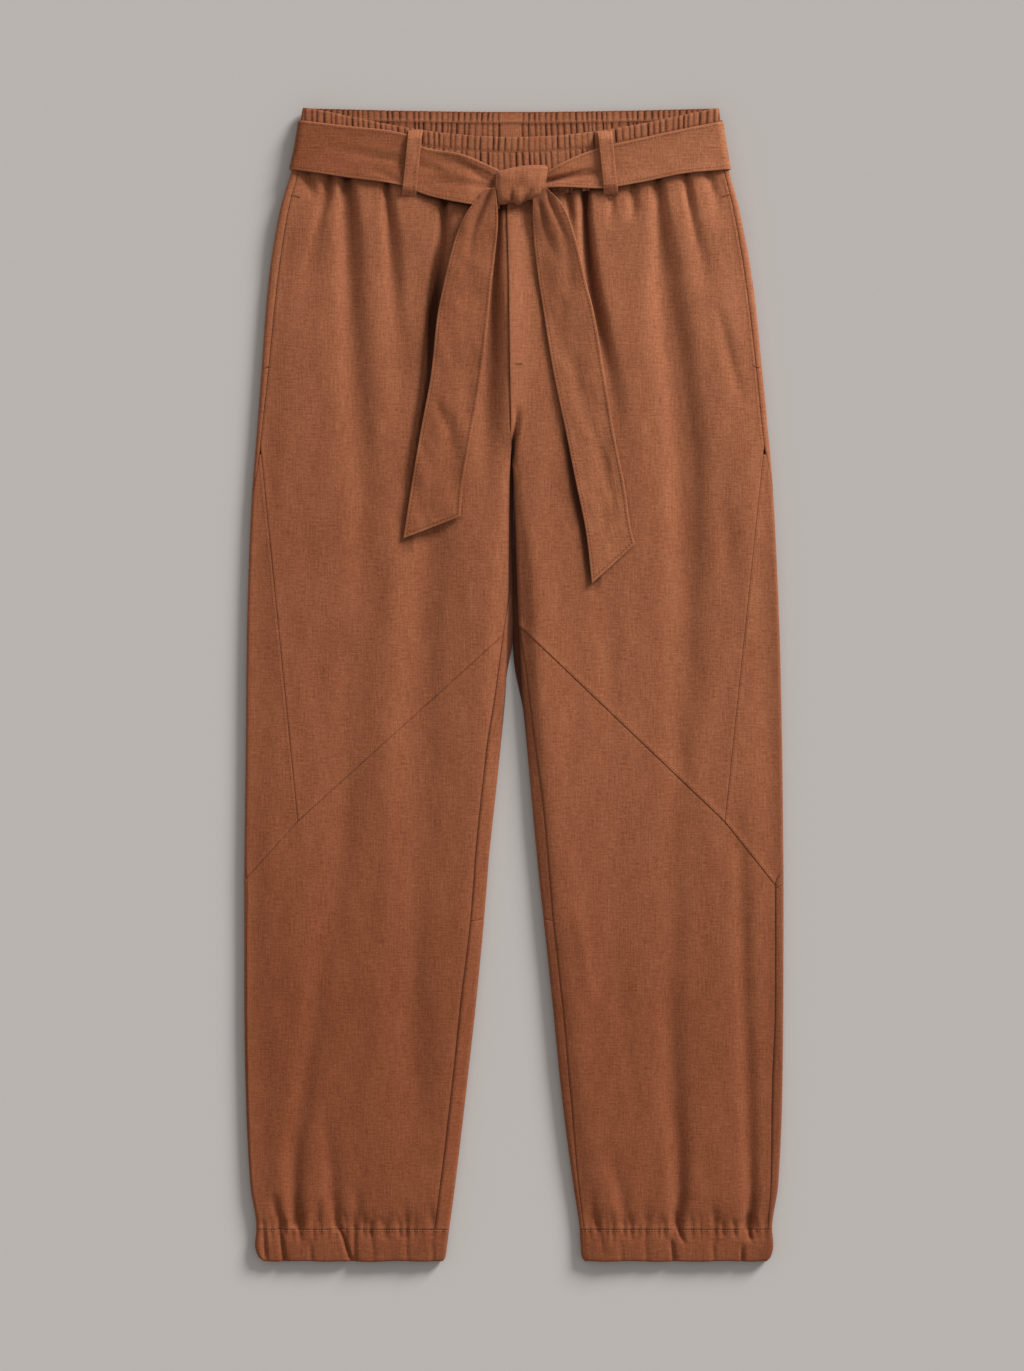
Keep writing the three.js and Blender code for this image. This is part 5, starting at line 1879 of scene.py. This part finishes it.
LEFT_ROWS = (
    (500, 182.8, 6, 5.6, 0), (450, 191.6, 6.5, 5.6, 0), (415, 202, 7.5, 5.6, 0), (350, 212.8, 8.1, 4.1, 0),
    (268, 219.2, 6.1, 3, 0), (208, 223.8, 4, 1.7, 0), (196, 224.8, 3.9, 2.3, 0), (150, 228, 0, 3.2, 0),
    (80, 230.7, 0, 3.8, 0), (42, 231.6, 0, 4.8, 4.5), (0, 232.1, 0, 6.4, 8.6), (-60, 232.6, 0, 11.8, 12.4),
    (-118, 233.3, 0, 17.9, 12.6), (-150, 233.7, 0, 21.3, 12.2), (-158, 233.7, 0.9, 21.9, 12.1),
    (-167, 233.8, 2.5, 22.6, 12), (-203, 233.8, 2.2, 25.5, 12), (-280, 233.8, 1.9, 32.9, 13.8),
    (-350, 232.6, 1.5, 40.7, 13.3), (-434, 228.5, 0.5, 50.6, 13.3), (-472, 223.2, 0, 55.7, 13.2),
    (-486, 224.2, 0, 57.7, 11.6), (-496, 221.6, 0, 59, 10.4), (-500, 217.6, 0, 60.4, 10),
)
RIGHT_ROWS = (
    (500, 178, 4, -5.6, 0), (450, 186, 4.6, -5.6, 0), (415, 195.3, 5.6, -5.6, 0), (350, 207.6, 6.4, -4.1, 0),
    (268, 216.4, 5.4, -3, 0), (208, 222.2, 4.9, -1.7, 0), (196, 223.3, 3.4, -0.7, 0), (150, 226.4, 0, 1.2, 0),
    (80, 229.8, 0, 3.4, 0), (49, 231, 0, 4.6, 0.9), (0, 232.3, 0, 6.9, 5.8), (-60, 233.4, 0, 12.2, 7.9),
    (-118, 234.1, 0, 17.4, 9.9), (-150, 234.4, 0, 20.5, 9.6), (-160, 234.5, 1.3, 21.4, 9.5),
    (-173, 234.5, 7.8, 22.7, 9.4), (-203, 234.5, 7.8, 26, 8.4), (-280, 234.3, 7.7, 34.2, 8.7),
    (-350, 233.5, 9.5, 41.1, 8.1), (-434, 229.9, 7, 51.9, 4.4), (-472, 224.6, 4, 57.4, 3.4),
    (-486, 225.4, 4, 58.4, 3.4), (-496, 223.6, 4, 59.2, 3.3), (-500, 220.6, 4, 61, 3.3),
)
LEFT_SASH = (
    (12, 446, 412), (46, 460, 417.5), (79, 466.5, 425.5), (92, 477, 431.5), (150, 485, 440.5),
    (196, 490.5, 447.5),
)
RIGHT_SASH = (
    (20, 439, 430), (42, 452, 431), (73, 465, 430), (109, 473.5, 435), (148, 482, 443), (192, 490.5, 447.5),
)
LEFT_TAIL = (
    ((TAIL_TOP, -24), (425, -26.4), (412, -38.1), (396, -46.6), (379, -52.5), (350, -59.6), (322, -65.5),
     (271, -71.1), (218, -80.7), (172, -88.5), (127, -95.5)),
    ((TAIL_TOP, -16.5), (425, -15.2), (403, -13.4), (372, -16), (343, -19.5), (315, -22.1), (271, -27.3),
     (218, -36), (172, -43.8), (146, -46), (127, -48)),
)
RIGHT_TAIL = (
    ((TAIL_TOP, 17), (414, 16.6), (391, 17.3), (357, 20.9), (329, 25.2), (293, 30.8), (264, 36), (223, 44.7),
     (173, 54.6), (132, 62.9), (88, 67.9)),
    ((TAIL_TOP, 28.5), (415, 42.5), (386, 53.9), (350, 62.6), (322, 69.8), (271, 78.5), (215, 87.8),
     (173, 96.2), (135, 101.9), (122, 105.3), (88, 109)),
)
LEFT_TAIL_LIFT = (
    Curve((127, 150, 200, 247, 300, 377, 410, 430), (1.8, 2.0, 2.8, 4.0, 5.6, 7.2, 7.6, 8.0)),
    Curve((127, 200, 250, 350, 400, 430), (1.0, 1.8, 2.4, 3.6, 6.0, 8.0)),
)
RIGHT_TAIL_LIFT = (
    Curve((88, 150, 200, 260, 330, 380, 410, 430), (2.6, 3.4, 2.8, 1.4, 1.2, 2.0, 5.0, 7.0)),
    Curve((88, 122, 250, 330, 380, 430), (1.4, 1.6, 2.8, 4.6, 6.0, 8.0)),
)


def small_gathers(seed: int, sign: int) -> tuple[Fold, ...]:
    """Short puckers on both sides of a cuff's seam, of uneven length and depth.

    Args:
        seed: for their places.
        sign: which leg they are on.

    Returns:
        The puckers.
    """
    random = np.random.default_rng(seed)
    made = []
    for across in np.arange(64.0, 224.0, 7.4):
        x = sign * (across + random.uniform(-2.4, 2.4))
        depth, reach = random.uniform(0.3, 1.3), random.uniform(6, 17)
        lean = random.uniform(-2.5, 2.5)
        upper, lower = (-469, x, 2.2, -depth), (-474, x, 2.0, -depth * 0.9)
        end = (-476 - 0.6 * reach, x - lean * 0.4, 2.4, 0)
        made.append(Fold((-470 + reach, x + lean, 3.0, 0), upper, lower, end))
    return tuple(made)


def make_legs() -> tuple[Leg, Leg]:
    """The left and the right leg."""
    foot = lambda rows: Curve([across for across, _, _ in rows], [low for _, _, low in rows])
    left = Leg(
        "left", -1, LEFT_ROWS, 187.2, 0.906, -167.0, (0.0, 50.0),
        shoulder=Curve((-472, 208), (0.6, 1.4)),
        sash_foot=foot(LEFT_SASH),
        tail_edge=Curve(*zip(*LEFT_TAIL[0])),
        tail_gap=Curve((120, 160, 204, 247, 290, 334, 377, 420), (0.8, 1.0, 1.4, 2.4, 4.2, 7.5, 7.0, 2.0)),
        tail_dark=Curve((112, 126, 160, 204, 247, 290, 334, 377, 425), (0, 0.5, 0.7, 1, 1.3, 1.3, 1, 0.3, 0)),
        folds=LEFT_FOLDS + CUFF_FOLDS_LEFT + small_gathers(3, -1),
        back_folds=BACK_FOLDS_LEFT,
    )
    right = Leg(
        "right", 1, RIGHT_ROWS, 183.0, 0.953, -173.0, (-30.0, 35.0),
        shoulder=Curve((-472, -200, -90, -10, 60, 110, 160, 208), (1.2, 1.8, 2.8, 3.9, 3.9, 2.6, 1.0, 0.4)),
        sash_foot=foot(RIGHT_SASH),
        tail_edge=Curve(*zip(*RIGHT_TAIL[0])),
        tail_gap=Curve(
            (88, 108, 126, 160, 204, 230, 247, 334, 400), (2.6, 3.4, 3.6, 4.2, 2.6, 1.6, 1, 1.2, 1)
        ),
        tail_dark=Curve(
            (80, 92, 108, 160, 204, 240, 290, 334, 368, 410), (0, 0.8, 1.1, 1.3, 1.3, 0.6, 0.5, 0.7, 0.4, 0)
        ),
        folds=RIGHT_FOLDS + CUFF_FOLDS_RIGHT + small_gathers(4, 1),
        back_folds=BACK_FOLDS_RIGHT,
    )
    return left, right


def join(piece: Piece, replaced: str | None = None) -> None:
    """Fixes a piece to the garment.

    Args:
        piece: the piece.
        replaced: the CAD node that it stands for, if it has one.
    """
    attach(piece, "root")
    if replaced is not None:
        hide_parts(replaced)
    log.info("%s: %d faces", piece.name, len(piece.data.polygons))


def cut(piece: Piece, cloth: Cloth, material: Material | None = None) -> None:
    """Dresses a finished sheet and fixes it to the garment in place of its CAD node.

    Args:
        piece: the sheet, named as the CAD node that it stands for.
        cloth: its cut.
        material: its finish, if the piece has none yet.
    """
    if material is not None:
        piece.data.materials.append(material)
    join(piece, cloth.name)


def main() -> None:
    """Builds the garment piece by piece, then the floor, the lights and the camera."""
    logging.basicConfig(level=logging.INFO, format="%(message)s")
    linen = Linen("rust linen", colour(0.146, 0.0295, 0.0055), colour(0.426, 0.157, 0.073)).make()
    deep, pale = colour(0.145, 0.029, 0.0055), colour(0.432, 0.163, 0.075)
    # the sash's painted light makes it paler mostly towards the right
    sash_linen = Linen("rust sash linen", deep, pale, painted_top_light=0.2, slope=1.7).make()
    thread = Thread("rust thread", colour(0.30, 0.105, 0.048)).make()
    # the sash's thread is painted darker than the cloth, as shade in its stitch holes
    hole_shaded_thread = Thread("deep rust thread", colour(0.115, 0.03, 0.009)).make()
    light_thread = Thread("light rust thread", colour(0.40, 0.16, 0.08)).make()

    legs = left, right = make_legs()
    seams, tacks, cuffs = [], [], []
    for leg in legs:
        pieces = LegPieces(leg)
        seams += pieces.seam_stitches()
        tacks += pieces.bartacks()
        cuffs += pieces.cuff_stitches()
        for panel in pieces.fronts() + pieces.backs():
            cut(panel.build(), panel.cloth, linen)
        cut(pieces.cuff(), Cloth(f"cuff_{leg.name}", (0.4, 0.028), None, "gathered"), linen)

    band = Waistband(legs)
    for name, is_front in (("waistband_front", True), ("waistband_back", False)):
        cut(band.band(name, is_front, linen), Cloth(name, (0.5, 0.05), None, "gathered"))

    stretches = (
        SashStretch(left, LEFT_SASH, LEFT_SASH_FOLDS),
        SashStretch(right, RIGHT_SASH, RIGHT_SASH_FOLDS),
    )
    for stretch, area in zip(stretches, (0.0078, 0.0065)):
        name = f"belt_front_{stretch.leg.name}"
        cloth = Cloth(name, (0.19, 0.05), area, "laid", ("waistband_front_cloth",), "sash")
        cut(stretch.build(), cloth, sash_linen)
    tails = (
        Tail("left", LEFT_TAIL, (127.0, 146.0), LEFT_TAIL_LIFT, LEFT_TAIL_FOLDS, legs, 61),
        Tail("right", RIGHT_TAIL, (88.0, 122.0), RIGHT_TAIL_LIFT, RIGHT_TAIL_FOLDS, legs, 67),
    )
    for tail, length in zip(tails, (0.3, 0.335)):
        below = (f"front_upper_{tail.side}_cloth",)
        cloth = Cloth(f"belt_tail_{tail.side}", (0.05, length), 0.0125, "laid", below, "sash")
        cut(tail.build(), cloth, sash_linen)
    knot = Knot(KNOT_FOLDS).build()
    knot.data.materials.append(sash_linen)
    join(knot, "belt_knot")

    under = UnderSash(band)
    cut(under.stretch(), Cloth("belt_back", (0.39, 0.043), None, "laid", ("surface",), "sash"), sash_linen)
    cut(under.strap(), Cloth("belt_loop_back", (0.012, 0.06), None, "laid", ("belt_back_cloth",)), linen)

    loops = (
        BeltLoop("belt_loop_left", (-84.7, 481.0), (-90.6, 423.0), legs),
        BeltLoop("belt_loop_right", (79.0, 480.0), (84.6, 425.0), legs),
    )
    below = ("belt_front_left_cloth", "belt_front_right_cloth")
    for loop in loops:
        cut(loop.build(), Cloth(loop.name, (0.0126, 0.064), None, "laid", below), linen)

    wide = Stitching(3.0, 1.8, 0.85, 0.4)
    sash_lines = [line for part in stretches + tails for line in part.stitch_lines()]
    loop_lines = [line for loop in loops for line in loop.stitch_lines()]
    for name, stitching, lines, material, slot in (
        ("stitches_sash", wide, sash_lines, hole_shaded_thread, "sash"),
        ("stitches_loops", wide, loop_lines, thread, "linen"),
        ("stitches_waist", Stitching(pitch=2.6), band.stitch_lines(), thread, "linen"),
        ("stitches_seams", Stitching(2.6, 1.7, 0.5, 0.36), seams, thread, "linen"),
        ("stitches_cuffs", Stitching(2.4, 1.5, 0.8, 0.5), cuffs, light_thread, "linen"),
        ("bartacks", Stitching(0.75, 0.8, 1.9, 0.8), tacks, thread, "linen"),
    ):
        join(stitching.sew(name, lines, material))

    studio = Studio()
    studio.floor()
    studio.lights()
    studio.camera()


if __name__ == "__main__":
    main()
